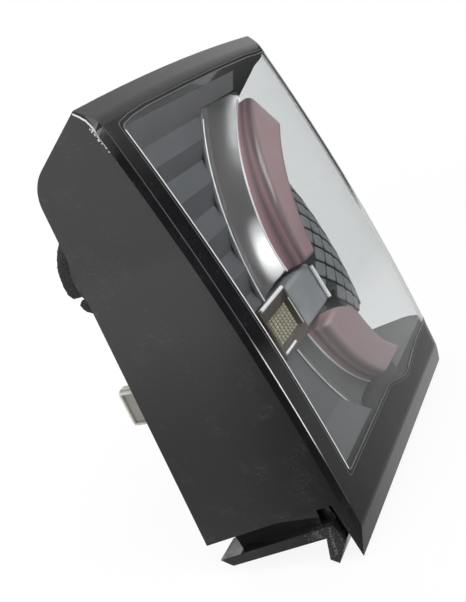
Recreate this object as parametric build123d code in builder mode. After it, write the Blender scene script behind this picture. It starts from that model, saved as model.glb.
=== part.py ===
"""Tail light cluster: right-hand wrap-around lamp for a large car. All sizes in mm."""
import os
from math import cos, radians, sin

from build123d import *

os.makedirs("parts", exist_ok=True)

# Driving sizes
LENS_H = 350.0          # inner edge of the lens, corner to corner
LENS_W = 316.0          # lens from inner edge to outboard wall
CORNER_R = 40.0         # lens corner between face and outboard wall
BOW_R = 2000.0          # bow of the lens face, top to bottom
SIDE_DEPTH = 82.0       # how far the lens wraps back outboard
WALL = 3.0              # moulded wall
EDGE = (1.0, 6.4)       # bevel of the lens at the inboard panel, across its face and along its return
CROWN = (140.0, 3.5, 2800.0)   # crown of the top edge: where it is highest, by how much, its radius
SHOULDER_R = 30.0       # rounding of the inboard panel at the top of the back wall
DRAFT = 0.119           # lean of the flat inboard panel, mm per mm of depth
RAKE = 10.23            # lean of the lens against the back wall, degrees
STAND_OFF = 20.0        # back wall to the mounting plane
STUD_R = 3.0            # M6 studs
STUD_SPAN = 170.0       # lower pair of studs, centre to centre
STUD_LEN = 24.0         # thread standing out of the mounting plane
TOP_STUD = (65.0, 195.0)
ARC_C = (292.0, -192.0)   # centre of the curved bezel, seen from the front
ARC_R = 219.0           # outer edge of the curved bezel
BED = 31.0              # depth of the bed the light guides stand on
DRUM_R = 91.0           # scaled panel, about an upright axis
DRUM_C = (207.0, DRUM_R + 19.0)   # that axis, in plan
DRUM_BULGE = 500.0      # barrel shape of the scaled panel, top to bottom
PANEL_GAP = 32.0        # scaled panel to the outboard wall
CARRIER_Y = 38.0        # front of the carrier plate

# Lamp axes: X outboard, Y back into the car, Z up. The lens axes lean by RAKE about X.
C = cos(radians(RAKE))
S = sin(radians(RAKE))
CORNER = (-135.0, -(C * 78.4 - S * 28.0) - STAND_OFF, 280.0)
plan = Plane(origin=CORNER, x_dir=(1, 0, 0), z_dir=(0, S, C))
front = Plane(origin=CORNER, x_dir=(1, 0, 0), z_dir=(0, -C, S))
side = Plane(origin=CORNER, x_dir=(0, C, -S), z_dir=(1, 0, 0))
rear = Plane(origin=(0, 0, 0), x_dir=(1, 0, 0), z_dir=(0, -1, 0))
arc_axis = Axis(front.from_local_coords((ARC_C[0], ARC_C[1], 0)), (0, C, -S))
radial = Plane(origin=arc_axis.position, x_dir=(-1, 0, 0), z_dir=(0, -S, -C))
drum_axis = Axis(plan.from_local_coords((DRUM_C[0], DRUM_C[1], ARC_C[1])), (0, S, C))
FLARE = ARC_R / 219.0   # the curved group grows with its bezel
BOW = BOW_R - (BOW_R**2 - (LENS_H / 2) ** 2) ** 0.5


def ringed(points):
    """Front-view places in the curved group, set out from the bezel centre."""
    return [(ARC_C[0] + (x - ARC_C[0]) * FLARE, ARC_C[1] + (z - ARC_C[1]) * FLARE) for x, z in points]


def slab(points, y1, y2, mode=Mode.ADD):
    """A front-view outline run back from depth y1 to y2."""
    with BuildSketch(front.offset(-y1)) as outline:
        with BuildLine():
            Polyline(*points, close=True)
        make_face()
    extrude(outline.sketch, amount=y1 - y2, mode=mode)


def bar(points, x1, x2, mode=Mode.ADD):
    """A side-view outline run outboard from x1 to x2."""
    with BuildSketch(side.offset(x1)) as profile:
        with BuildLine():
            Polyline(*points, close=True)
        make_face()
    extrude(profile.sketch, amount=x2 - x1, mode=mode)


def column(points, z1, z2, mode=Mode.ADD):
    """A plan-view outline run up from z1 to z2."""
    with BuildSketch(plan.offset(z1)) as foot:
        with BuildLine():
            Polyline(*points, close=True)
        make_face()
    extrude(foot.sketch, amount=z2 - z1, mode=mode)


def posts(frame, places, r, y1, y2, mode=Mode.ADD):
    """Round posts along the depth of a frame."""
    with BuildSketch(frame.offset(-y1)) as rounds:
        with Locations(*places):
            Circle(r)
    extrude(rounds.sketch, amount=y1 - y2, mode=mode)


def block(frame, x, z, w, h, y1, y2, r=0.0, mode=Mode.ADD):
    """An upright block, corners rounded by r, from depth y1 to y2."""
    with BuildSketch(frame.offset(-y1)) as shape:
        with Locations((x, z)):
            if r > 0:
                RectangleRounded(w, h, r)
            else:
                Rectangle(w, h)
    extrude(shape.sketch, amount=y1 - y2, mode=mode)


# Outer body of lens and housing, and the same shape set in by the wall
SIDE_VIEW = [(-20, 60), (78.4 - 88 * S / C, 60), (78.4 + 297 * S / C, -325), (12, -325), (12, -374.6),
             (-20, -309)]
TOP_VIEW = [(-20, CROWN[1] - 25.3), (12, CROWN[1] + 15.2), (160, CROWN[1] - 45.0), (160, -800), (-20, -800)]


def body(inset):
    with BuildPart() as lump:
        with BuildSketch(side.offset(-40)) as profile:
            with BuildLine():
                Polyline(*SIDE_VIEW, close=True)
            make_face()
            if inset > 0:
                offset(amount=-inset, kind=Kind.INTERSECTION, mode=Mode.REPLACE)
        extrude(profile.sketch, amount=400)
        with BuildSketch(side.offset(CROWN[0])) as crest:
            with BuildLine():
                Polyline(*TOP_VIEW, close=True)
            make_face()
            if inset > 0:
                offset(amount=-inset, kind=Kind.INTERSECTION, mode=Mode.REPLACE)
        pivot = front.from_local_coords((CROWN[0], CROWN[1] + 15.2 - CROWN[2], 0))
        revolve(crest.sketch, axis=Axis(pivot, (0, C, -S)), mode=Mode.INTERSECT)
        shoulder = [e for e in lump.edges() if e.length > 200 and abs(e.tangent_at(0.5).X) > 0.95
                    and side.to_local_coords(e.center()).X > 60 and e.center().Z > 200]
        fillet(shoulder, radius=SHOULDER_R - inset)
        with BuildSketch(plan.offset(-LENS_H / 2)) as top:
            with BuildLine():
                flat = LENS_W - CORNER_R
                Polyline((-60, (EDGE[0] + 60) * EDGE[1] / (EDGE[0] + 1) - BOW), (EDGE[0], -BOW), (flat, -BOW))
                RadiusArc((flat, -BOW), (LENS_W, CORNER_R - BOW), -CORNER_R)
                Polyline((LENS_W, CORNER_R - BOW), (LENS_W, SIDE_DEPTH), (258, 128), (258, 160), (-60, 160),
                         (-60, (EDGE[0] + 60) * EDGE[1] / (EDGE[0] + 1) - BOW))
            make_face()
            if inset > 0:
                offset(amount=-inset, kind=Kind.INTERSECTION, mode=Mode.REPLACE)
        centre = plan.from_local_coords((0, BOW_R - BOW, -LENS_H / 2))
        revolve(top.sketch, axis=Axis(centre, (1, 0, 0)), mode=Mode.INTERSECT)
        column([(-90, -60), (60 * DRAFT + inset, -60), (-160 * DRAFT + inset, 160), (-90, 160)],
               -420, 60, mode=Mode.SUBTRACT)
        soft = [e for e in lump.edges() if e.length > 60 and abs(e.tangent_at(0.5).X) > 0.95
                and side.to_local_coords(e.center()).X < 3.5 + inset]
        fillet(soft, radius=14.0 - inset)
    return lump.part


outer = body(0.0)
inner = body(WALL)

# Space in front of the joint between lens and housing
with BuildPart() as lens_zone:
    seam = [(EDGE[1] - BOW + (z + LENS_H / 2) ** 2 / (2 * BOW_R), z) for z in range(-4, -331, -25)]
    bar([(-60, 40), (13.5, 40), (13.5, 13.5), (10.5, 9.4), (8, 5.3), (6.5, 0.5), *seam, (5.2, -330), (9, -330),
         (9, -400), (-60, -400)], -60, 360)
    column([(258, -60), (258, 5), (292, SIDE_DEPTH), (360, SIDE_DEPTH), (360, -60)], -420, 60)

# Space of the clear window, face and outboard wall together
with BuildPart() as window_zone:
    slab([(19.3, -24), (19.6, -12.5), (22.5, -9.2), (38, -6.5), (60, -5), (120, -4.2), (182, -4.2), (246, -5.3),
          (268, -7), (380, -8), (380, -321.5), (244, -321.5), (229, -323.5), (193, -328.5), (181, -327),
          (149, -314.5), (26, -315.5), (23, -312.5)], -60, 200)
    bar([(-60, 0), (4, 0), (14, -9), (32, -12.5), (200, -98), (200, -321.5), (20, -321.5), (14, -345),
         (-60, -345)], -60, 400, mode=Mode.INTERSECT)

with BuildPart() as lens_border:
    add(outer)
    add(inner, mode=Mode.SUBTRACT)
    add(lens_zone.part, mode=Mode.INTERSECT)
    add(window_zone.part, mode=Mode.SUBTRACT)

with BuildPart() as lens_window:
    add(outer)
    add(inner, mode=Mode.SUBTRACT)
    add(lens_zone.part, mode=Mode.INTERSECT)
    add(window_zone.part, mode=Mode.INTERSECT)

# Housing: side panel, back wall, lower flange, rail and bosses
CARRIER_POSTS = [(60, -62), (170, -62), (60, -292), (222, -292)]
SCREWS = [(-14, 80), (54, 80), (-14, 130), (54, 130)]
STUDS = [(-STUD_SPAN / 2, 0), (STUD_SPAN / 2, 0), TOP_STUD]
PLUG = (-97, 176)
HOLDER = (-53, 65)
with BuildPart() as housing:
    add(outer)
    add(inner, mode=Mode.SUBTRACT)
    add(lens_zone.part, mode=Mode.SUBTRACT)
    bar([(24, -341.5), (129, -341.5), (121, -350), (31, -351)], -20, 12)
    bar([(30, -324), (120, -324), (118, -346), (34, -346)], 4, 8)
    bar([(20.2, -341.5), (18.5, -358), (33.5, -375), (39, -369.5), (31.5, -351), (31.5, -341.5)], -10, 8)
    bar([(22, -324), (18.5, -358), (33.5, -375), (36, -372.5), (22, -357), (25.5, -324)], 7, 250)
    column([(-90, 12), (-12 * DRAFT, 12), (-160 * DRAFT, 160), (-90, 160)], -420, -326, mode=Mode.SUBTRACT)
    posts(front, CARRIER_POSTS[:2], 5.5, CARRIER_Y + 2.5, 83.4)
    posts(front, CARRIER_POSTS[2:], 5.5, CARRIER_Y + 2.5, 124.8)
    posts(front, CARRIER_POSTS, 1.5, CARRIER_Y + 2, CARRIER_Y + 16, mode=Mode.SUBTRACT)
    posts(rear, [PLUG], 38, -22, -6)
    posts(rear, STUDS, 11, -22, 0)
    posts(rear, [HOLDER], 21, -22, -14)
    block(rear, 20, 105, 84, 62, -22, -15, r=6)
    posts(rear, [PLUG], 29, -20, 5, mode=Mode.SUBTRACT)
    block(rear, PLUG[0], PLUG[1], 40, 24, -40, -10, r=3, mode=Mode.SUBTRACT)
    posts(rear, [HOLDER], 14, -40, 5, mode=Mode.SUBTRACT)
    posts(rear, STUDS, STUD_R + 0.6, -21, 5, mode=Mode.SUBTRACT)
    block(rear, 20, 105, 60, 40, -40, 5, r=3, mode=Mode.SUBTRACT)
    posts(rear, SCREWS, 1.5, -21, 5, mode=Mode.SUBTRACT)
    posts(rear, [(90, 60)], 5, -40, 5, mode=Mode.SUBTRACT)
    block(rear, -136, 67, 8, 24, -40, 5, r=2, mode=Mode.SUBTRACT)

# Dark inner bezel with its louvre steps
with BuildPart() as inner_bezel:
    bar([(4.5, -10), (18, -29), (15, -46), (21, -60), (15, -78), (21, -95), (15, -113), (21, -131),
         (15, -149), (21, -167), (17, -180), (17, -288), (6, -314), (10, -316), (25, -292), (25, -34),
         (9, -10)], 7, 165)
    posts(front, [ARC_C], ARC_R, -20, 60, mode=Mode.SUBTRACT)
    bar([(4.5, -10), (14.5, -24), (19, -24), (9, -10)], 7, 214)
    block(front, 92, -203, 76, 47, -20, 60, mode=Mode.SUBTRACT)
    posts(front, [(40, -80), (40, -270)], 4, 24, CARRIER_Y)
    posts(front, [(40, -80), (40, -270)], 1.4, CARRIER_Y - 8, CARRIER_Y, mode=Mode.SUBTRACT)


def cove(points):
    """Ring about the bezel centre: flat bed, then a hollow rising to the outer rim."""
    with BuildSketch(radial) as section:
        with BuildLine():
            Polyline((120 * FLARE, BED + 3), (120 * FLARE, BED), (176 * FLARE, BED))
            ThreePointArc((176 * FLARE, BED), (201 * FLARE, BED - 4.5), (214 * FLARE, BED - 15))
            Polyline((214 * FLARE, BED - 15), (ARC_R, BED - 15), (ARC_R, BED - 10))
            ThreePointArc((ARC_R, BED - 10), (204 * FLARE, BED), (180 * FLARE, BED + 3))
            Line((180 * FLARE, BED + 3), (120 * FLARE, BED + 3))
        make_face()
    revolve(section.sketch, axis=arc_axis)
    slab(points, -20, 60, mode=Mode.INTERSECT)


UPPER_LEDS = ringed([(232, -60), (214, -73), (198, -88), (186, -105), (177, -123), (169, -141), (163, -159)])
LOWER_LEDS = ringed([(144, -245), (149, -260), (156, -275), (165, -289), (178, -301), (194, -308)])
UPPER_FEET = ringed([(110, -120), (222, -48)])
LOWER_FEET = ringed([(112, -240), (112, -275)])
PANEL_FEET = [(DRUM_C[0] + 7, ARC_C[1] + 32 * FLARE), (DRUM_C[0] + 7, ARC_C[1] - 33 * FLARE)]

# Satin curved bezels round the light guides
with BuildPart() as upper_arc_bezel:
    cove([(40, -180), (248, -180), (248, -25), (40, -25)])
    posts(front, UPPER_LEDS, 3, 20, 50, mode=Mode.SUBTRACT)
    posts(front, UPPER_FEET, 4, BED + 2, CARRIER_Y)
    posts(front, UPPER_FEET, 1.4, CARRIER_Y - 4, CARRIER_Y, mode=Mode.SUBTRACT)

with BuildPart() as lower_arc_bezel:
    cove([(40, -227), (236, -227), (236, -318), (40, -318)])
    posts(front, LOWER_LEDS, 3, 20, 50, mode=Mode.SUBTRACT)
    posts(front, LOWER_FEET, 4, BED + 2, CARRIER_Y)
    posts(front, LOWER_FEET, 1.4, CARRIER_Y - 4, CARRIER_Y, mode=Mode.SUBTRACT)


def guide(y1, y2):
    """Cut a guide's outline to its canted face, from depth y1 to y2, standing on the bezel bed."""
    with BuildSketch(radial) as section:
        with BuildLine():
            Polyline((90 * FLARE, y1), (200 * FLARE, y2), (200 * FLARE, BED), (90 * FLARE, BED), close=True)
        make_face()
    revolve(section.sketch, axis=arc_axis, mode=Mode.INTERSECT)


# Red light guides
FLOOR_IN = -319.0       # lowest place clear of the housing floor
with BuildPart() as upper_light_guide:
    with BuildSketch(front.offset(20)) as crescent:
        with BuildLine():
            ThreePointArc(*ringed([(243, -34), (180, -93), (150, -182)]))
            Line(*ringed([(150, -182), (166, -181)]))
            ThreePointArc(*ringed([(166, -181), (191, -120), (241, -73)]))
            Line(*ringed([(241, -73), (243, -34)]))
        make_face()
        fillet(crescent.vertices().sort_by(Axis.Z)[:2], 4)
    extrude(crescent.sketch, amount=-80)
    guide(-11.8, 29.4)

with BuildPart() as lower_light_guide:
    with BuildSketch(front.offset(20)) as sweep_form:
        with BuildLine():
            ThreePointArc(*ringed([(128, -235), (139, -270), (176, -317)]))
            Line(*ringed([(176, -317), (213, -310)]))
            Spline(*ringed([(213, -310), (190, -288), (177, -264), (168, -242), (150, -229)]))
            Line(*ringed([(150, -229), (128, -235)]))
        make_face()
    extrude(sweep_form.sketch, amount=-80)
    guide(-15.8, 22)
    slab([(60, -200), (260, -200), (260, FLOOR_IN), (60, FLOOR_IN)], -30, 60, mode=Mode.INTERSECT)

# Bridge between the guides, with its bright strip
with BuildPart() as bridge_cover:
    block(front, 139.5, -206, 61, 41, 17, CARRIER_Y, r=5)
    fillet(bridge_cover.faces().sort_by(Axis.Y)[0].edges(), 4)
    block(front, 170, -207, 5, 30, 0, 30, mode=Mode.SUBTRACT)

with BuildPart() as bridge_trim:
    block(front, 168.75, -207, 2.5, 30, 15, 30)

# Scaled panel: a barrel-shaped shield covered in small lapped tiles
PANEL_H = 72.0 * FLARE
SAG = DRUM_BULGE - (DRUM_BULGE**2 - PANEL_H**2) ** 0.5
PANEL_IN = ARC_C[0] - 99.0 * FLARE
PANEL_OUT = LENS_W - PANEL_GAP
TAB_IN = 171.5          # tongue of the panel that fills the gap beside the bridge
tiles = []
for row in range(-8, 9):
    z = row * 7.8 * FLARE
    r = DRUM_R - DRUM_BULGE + (DRUM_BULGE**2 - z**2) ** 0.5
    for k in range(-2, 7):
        a = radians(-5 + 9.1 * k + (4.55 if row % 2 else 0))
        start = TAB_IN if -27 < z < 0 else PANEL_IN
        if start + 6 < DRUM_C[0] + r * sin(a) < PANEL_OUT - 6:
            lift = z / DRUM_BULGE + radians(7)
            at = plan.from_local_coords((DRUM_C[0] + r * sin(a), DRUM_C[1] - r * cos(a), ARC_C[1] + z))
            b = -cos(a) * cos(lift)
            out = (sin(a) * cos(lift), b * C + sin(lift) * S, -b * S + sin(lift) * C)
            across = (cos(a), sin(a) * C, -sin(a) * S)
            tiles.append(Plane(origin=at, x_dir=across, z_dir=out))
with BuildPart() as panel_zone:
    column([(PANEL_IN, 0), (PANEL_OUT, 0), (PANEL_OUT, 64), (PANEL_IN, 64)], ARC_C[1] - 90, ARC_C[1] + 90)
    column([(TAB_IN, 0), (PANEL_IN + 1, 0), (PANEL_IN + 1, 64), (TAB_IN, 64)], ARC_C[1] - 34, ARC_C[1] + 7)

with BuildPart() as scale_panel:
    hub = Plane(origin=drum_axis.position, x_dir=(0, -C, S), z_dir=(-1, 0, 0))
    with BuildSketch(hub) as stave:
        with BuildLine():
            edge = DRUM_R - SAG
            ThreePointArc((edge, -PANEL_H), (DRUM_R, 0), (edge, PANEL_H))
            Line((edge, PANEL_H), (edge - WALL, PANEL_H))
            ThreePointArc((edge - WALL, PANEL_H), (DRUM_R - WALL, 0), (edge - WALL, -PANEL_H))
            Line((edge - WALL, -PANEL_H), (edge, -PANEL_H))
        make_face()
    revolve(stave.sketch, axis=drum_axis)
    add(panel_zone.part, mode=Mode.INTERSECT)
    with Locations(*tiles):
        Box(10 * FLARE, 10 * FLARE, 2.6, rotation=(0, 0, 45))
    posts(front, PANEL_FEET, 4, DRUM_C[1] - DRUM_R + 4.5, CARRIER_Y)
    posts(front, PANEL_FEET, 1.4, CARRIER_Y - 8, CARRIER_Y, mode=Mode.SUBTRACT)

# Small clear lamp: bright frame, prism optic, reflector, bulb and its holder
LAMP = (82, -203)
OPTIC = (82, -205.2)
OPTIC_H = 24.0
with BuildPart() as reverse_lamp_frame:
    block(front, LAMP[0], LAMP[1], 52, 44, 14, CARRIER_Y, r=2)
    block(front, OPTIC[0], OPTIC[1], 46, OPTIC_H, 0, 60, mode=Mode.SUBTRACT)
    bar([(12, -183), (14, -183), (18, -193.2), (12, -193.2)], OPTIC[0] - 23, OPTIC[0] + 23, mode=Mode.SUBTRACT)

with BuildPart() as reverse_lamp_lens:
    ridges = [(OPTIC[0] - 23 + 23 * k / 9, 18.4 if k % 2 else 20.4) for k in range(19)]
    column([*ridges, (OPTIC[0] + 23, 23), (OPTIC[0] - 23, 23)], OPTIC[1] - OPTIC_H / 2, OPTIC[1] + OPTIC_H / 2)

with BuildPart() as reverse_reflector:
    for cut, mode in ((0.0, Mode.ADD), (1.5, Mode.SUBTRACT)):
        with BuildSketch(front.offset(-23)) as mouth:
            with Locations(OPTIC):
                Rectangle(45.6 - 2 * cut, OPTIC_H - 0.4 - 2 * cut)
        with BuildSketch(front.offset(-85)) as throat:
            with Locations((LAMP[0], LAMP[1] - 0.9)):
                Rectangle(28 - 2 * cut, 21 - 2 * cut)
        loft([mouth.sketch.face(), throat.sketch.face()], mode=mode)

with BuildPart() as bulb_holder:
    posts(rear, [HOLDER], 13.8, -32, -14)
    posts(rear, [HOLDER], 20, -14, -10)
    block(rear, HOLDER[0], HOLDER[1], 30, 9, -10, -2, r=3)
    block(rear, HOLDER[0], HOLDER[1], 9, 4, -33, -24, mode=Mode.SUBTRACT)

with BuildPart() as reverse_bulb:
    block(rear, HOLDER[0], HOLDER[1], 9, 4, -34, -24)
    posts(rear, [HOLDER], 7.5, -52, -33)
    with Locations((HOLDER[0], -52, HOLDER[1])):
        Sphere(7.5)

# Carrier plate behind the bezels
BEZEL_SCREWS = [(40, -80), (40, -270), *UPPER_FEET, *LOWER_FEET, *PANEL_FEET]
with BuildPart() as carrier:
    block(front, 133.5, -170, 207, 278, CARRIER_Y, CARRIER_Y + 2.5, r=8)
    block(front, OPTIC[0], OPTIC[1], 46, OPTIC_H, 0, 60, mode=Mode.SUBTRACT)
    posts(front, CARRIER_POSTS, 2, 0, 60, mode=Mode.SUBTRACT)
    posts(front, BEZEL_SCREWS, 1.4, 0, 60, mode=Mode.SUBTRACT)

with BuildPart() as carrier_screws:
    posts(front, CARRIER_POSTS, 4, CARRIER_Y - 2.4, CARRIER_Y)
    posts(front, CARRIER_POSTS, 1.5, CARRIER_Y - 1, CARRIER_Y + 14)

with BuildPart() as bezel_screws:
    posts(front, BEZEL_SCREWS, 3.5, CARRIER_Y + 2.5, CARRIER_Y + 4.7)
    posts(front, BEZEL_SCREWS, 1.4, CARRIER_Y - 4, CARRIER_Y + 3)

# Light-emitting diode boards behind the guides
with BuildPart() as upper_led_board:
    slab(ringed([(240, -52), (222, -60), (203, -76), (188, -95), (178, -113), (170, -132), (162, -152),
                 (156, -168), (168, -168), (176, -150), (184, -130), (195, -110), (208, -93), (224, -80),
                 (236, -70)]), CARRIER_Y - 1.6, CARRIER_Y)

with BuildPart() as upper_leds:
    for x, z in UPPER_LEDS:
        block(front, x, z, 3.4, 3.4, CARRIER_Y - 3, CARRIER_Y - 1.6)

with BuildPart() as lower_led_board:
    slab(ringed([(136, -238), (141, -262), (148, -280), (158, -296), (176, -308), (203, -313), (203, -302),
                 (184, -294), (170, -282), (162, -268), (156, -252), (152, -238)]), CARRIER_Y - 1.6, CARRIER_Y)
    slab([(60, -200), (260, -200), (260, FLOOR_IN), (60, FLOOR_IN)], 0, 60, mode=Mode.INTERSECT)

with BuildPart() as lower_leds:
    for x, z in LOWER_LEDS:
        block(front, x, z, 3.4, 3.4, CARRIER_Y - 3, CARRIER_Y - 1.6)

# Plug socket in the round boss, its pins and the foam ring
with BuildPart() as connector_socket:
    block(rear, PLUG[0], PLUG[1], 48, 31, -20, -17.5, r=3)
    block(rear, PLUG[0], PLUG[1], 39, 23, -36, -20, r=2)
    block(rear, PLUG[0], PLUG[1], 37, 21, -17.5, -5, r=3)
    block(rear, PLUG[0], PLUG[1], 33, 17, -17, 0, r=2, mode=Mode.SUBTRACT)
    block(rear, PLUG[0], PLUG[1] + 11.5, 10, 2.5, -16, -7)
    for k in range(6):
        block(rear, PLUG[0] - 12.5 + 5 * k, PLUG[1], 1.6, 0.8, -40, 0, mode=Mode.SUBTRACT)

with BuildPart() as connector_pins:
    for k in range(6):
        block(rear, PLUG[0] - 12.5 + 5 * k, PLUG[1], 1.6, 0.8, -39, -8)

with BuildPart() as foam_seal:
    posts(rear, [PLUG], 37.5, -6, 8)
    posts(rear, [PLUG], 29.5, -10, 10, mode=Mode.SUBTRACT)
    with BuildSketch(rear.offset(8)) as gap:
        with BuildLine():
            Polyline((PLUG[0], PLUG[1]), (PLUG[0] - 60, PLUG[1] - 20), (PLUG[0] - 60, PLUG[1] - 36), close=True)
        make_face()
    extrude(gap.sketch, amount=-24, mode=Mode.SUBTRACT)

# Nylon locating clip, studs, back cover and vent
with BuildPart() as locating_clip:
    block(rear, -136, 67, 8, 24, -25, -20, r=2)
    block(rear, -136, 67, 15, 36, -20, -17.5, r=5)
    block(rear, -136, 68, 13, 34, -17.5, -0.5, r=5)
    fillet(locating_clip.faces().sort_by(Axis.Y)[-1].edges(), 2)
    block(rear, -143, 68, 6, 27, -15, -3.2, mode=Mode.SUBTRACT)

with BuildPart() as mounting_studs:
    posts(rear, STUDS, STUD_R + 0.6, -21, 0)
    posts(rear, STUDS, STUD_R, -1, STUD_LEN)
    chamfer(mounting_studs.edges().filter_by(GeomType.CIRCLE).group_by(Axis.Y)[-1], 0.8)

with BuildPart() as driver_cover:
    block(rear, 20, 105, 82, 60, -15, -12, r=5)
    for k in range(7):
        block(rear, 20 - 27 + 9 * k, 105, 2.4, 38, -12, -4)
    posts(rear, [(-2, 105), (42, 105)], 3, -17.4, -15)
    posts(rear, SCREWS, 1.5, -20, 0, mode=Mode.SUBTRACT)

with BuildPart() as driver_board:
    block(rear, 20, 105, 56, 36, -19, -17.4)

with BuildPart() as cover_screws:
    posts(rear, SCREWS, 3.4, -12, -9.6)
    posts(rear, SCREWS, 1.5, -20.5, -11)

with BuildPart() as breather_cap:
    posts(rear, [(90, 60)], 5, -24, -19)
    posts(rear, [(90, 60)], 8.5, -20, -15)

# Each piece written as its own node
lens_border.part.label = "lens_border"
export_step(lens_border.part, "parts/lens_border.step")
lens_window.part.label = "lens_window"
export_step(lens_window.part, "parts/lens_window.step")
housing.part.label = "housing"
export_step(housing.part, "parts/housing.step")
inner_bezel.part.label = "inner_bezel"
export_step(inner_bezel.part, "parts/inner_bezel.step")
upper_arc_bezel.part.label = "upper_arc_bezel"
export_step(upper_arc_bezel.part, "parts/upper_arc_bezel.step")
lower_arc_bezel.part.label = "lower_arc_bezel"
export_step(lower_arc_bezel.part, "parts/lower_arc_bezel.step")
upper_light_guide.part.label = "upper_light_guide"
export_step(upper_light_guide.part, "parts/upper_light_guide.step")
lower_light_guide.part.label = "lower_light_guide"
export_step(lower_light_guide.part, "parts/lower_light_guide.step")
bridge_cover.part.label = "bridge_cover"
export_step(bridge_cover.part, "parts/bridge_cover.step")
bridge_trim.part.label = "bridge_trim"
export_step(bridge_trim.part, "parts/bridge_trim.step")
scale_panel.part.label = "scale_panel"
export_step(scale_panel.part, "parts/scale_panel.step")
reverse_lamp_frame.part.label = "reverse_lamp_frame"
export_step(reverse_lamp_frame.part, "parts/reverse_lamp_frame.step")
reverse_lamp_lens.part.label = "reverse_lamp_lens"
export_step(reverse_lamp_lens.part, "parts/reverse_lamp_lens.step")
reverse_reflector.part.label = "reverse_reflector"
export_step(reverse_reflector.part, "parts/reverse_reflector.step")
bulb_holder.part.label = "bulb_holder"
export_step(bulb_holder.part, "parts/bulb_holder.step")
reverse_bulb.part.label = "reverse_bulb"
export_step(reverse_bulb.part, "parts/reverse_bulb.step")
carrier.part.label = "carrier"
export_step(carrier.part, "parts/carrier.step")
carrier_screws.part.label = "carrier_screws"
export_step(carrier_screws.part, "parts/carrier_screws.step")
bezel_screws.part.label = "bezel_screws"
export_step(bezel_screws.part, "parts/bezel_screws.step")
upper_led_board.part.label = "upper_led_board"
export_step(upper_led_board.part, "parts/upper_led_board.step")
upper_leds.part.label = "upper_leds"
export_step(upper_leds.part, "parts/upper_leds.step")
lower_led_board.part.label = "lower_led_board"
export_step(lower_led_board.part, "parts/lower_led_board.step")
lower_leds.part.label = "lower_leds"
export_step(lower_leds.part, "parts/lower_leds.step")
connector_socket.part.label = "connector_socket"
export_step(connector_socket.part, "parts/connector_socket.step")
connector_pins.part.label = "connector_pins"
export_step(connector_pins.part, "parts/connector_pins.step")
foam_seal.part.label = "foam_seal"
export_step(foam_seal.part, "parts/foam_seal.step")
locating_clip.part.label = "locating_clip"
export_step(locating_clip.part, "parts/locating_clip.step")
mounting_studs.part.label = "mounting_studs"
export_step(mounting_studs.part, "parts/mounting_studs.step")
driver_cover.part.label = "driver_cover"
export_step(driver_cover.part, "parts/driver_cover.step")
driver_board.part.label = "driver_board"
export_step(driver_board.part, "parts/driver_board.step")
cover_screws.part.label = "cover_screws"
export_step(cover_screws.part, "parts/cover_screws.step")
breather_cap.part.label = "breather_cap"
export_step(breather_cap.part, "parts/breather_cap.step")
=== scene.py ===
"""Tail light cluster, dressed for the library: finishes, small repeated details and a plain studio."""

import math
import random

import bmesh
import bpy
from bpy.props import FloatProperty, FloatVectorProperty, IntProperty, PointerProperty
from mathutils import Matrix, Vector, noise
from mathutils.bvhtree import BVHTree


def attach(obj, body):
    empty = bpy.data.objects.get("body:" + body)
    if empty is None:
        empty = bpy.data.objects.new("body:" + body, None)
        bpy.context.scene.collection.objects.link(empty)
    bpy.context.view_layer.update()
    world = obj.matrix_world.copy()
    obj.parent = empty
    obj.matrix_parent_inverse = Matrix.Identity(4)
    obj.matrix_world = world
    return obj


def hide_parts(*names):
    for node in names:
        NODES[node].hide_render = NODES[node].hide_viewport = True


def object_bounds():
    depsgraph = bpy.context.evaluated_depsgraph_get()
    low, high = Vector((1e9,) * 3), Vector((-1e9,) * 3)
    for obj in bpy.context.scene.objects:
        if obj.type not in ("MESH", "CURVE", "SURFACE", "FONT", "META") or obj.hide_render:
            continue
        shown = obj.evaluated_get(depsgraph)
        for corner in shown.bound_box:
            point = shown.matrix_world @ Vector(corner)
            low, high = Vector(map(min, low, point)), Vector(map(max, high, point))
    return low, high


bl_info = {
    "name": "Tail Light Cluster",
    "version": (1, 0, 0),
    "blender": (4, 5, 0),
    "location": "View3D > Sidebar > Tail Light",
    "description": "Dresses the solids of a tail light cluster with finishes and fine details",
    "category": "Object",
}

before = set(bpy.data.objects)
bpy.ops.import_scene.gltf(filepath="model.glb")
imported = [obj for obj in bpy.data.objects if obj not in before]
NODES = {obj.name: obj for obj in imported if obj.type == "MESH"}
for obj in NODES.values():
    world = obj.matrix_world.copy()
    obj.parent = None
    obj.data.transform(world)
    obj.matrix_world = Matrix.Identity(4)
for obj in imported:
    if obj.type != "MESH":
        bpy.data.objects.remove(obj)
CAD_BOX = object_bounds()

# Lens axes: x outboard, y back, z up, in mm from the lens's top inner corner, leaning by RAKE
RAKE = math.radians(10.23)
CORNER = Vector((-0.135, -0.09218, 0.280))
LENS_CROWN, LENS_MIDDLE, LENS_BOW = -7.67, -175.0, 2000.0
PANEL_SLOPE = 0.119
SEAM_SETBACK = 6.4
SEAM_TOP = ((0.5, 6.5), (5.3, 8.0), (9.4, 10.5), (13.5, 13.5))

# Inside the lens, in lens axes: the curved bezels with their bed and rim, the drum and the small lamp
ARC_CENTRE = (292.0, -192.0)
BED = 31.0
RIM_RADIUS, RIM_RISE = 218.0, 15.0
DRUM = (207.0, 110.0)
OPTIC = (82.0, -205.2)

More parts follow.
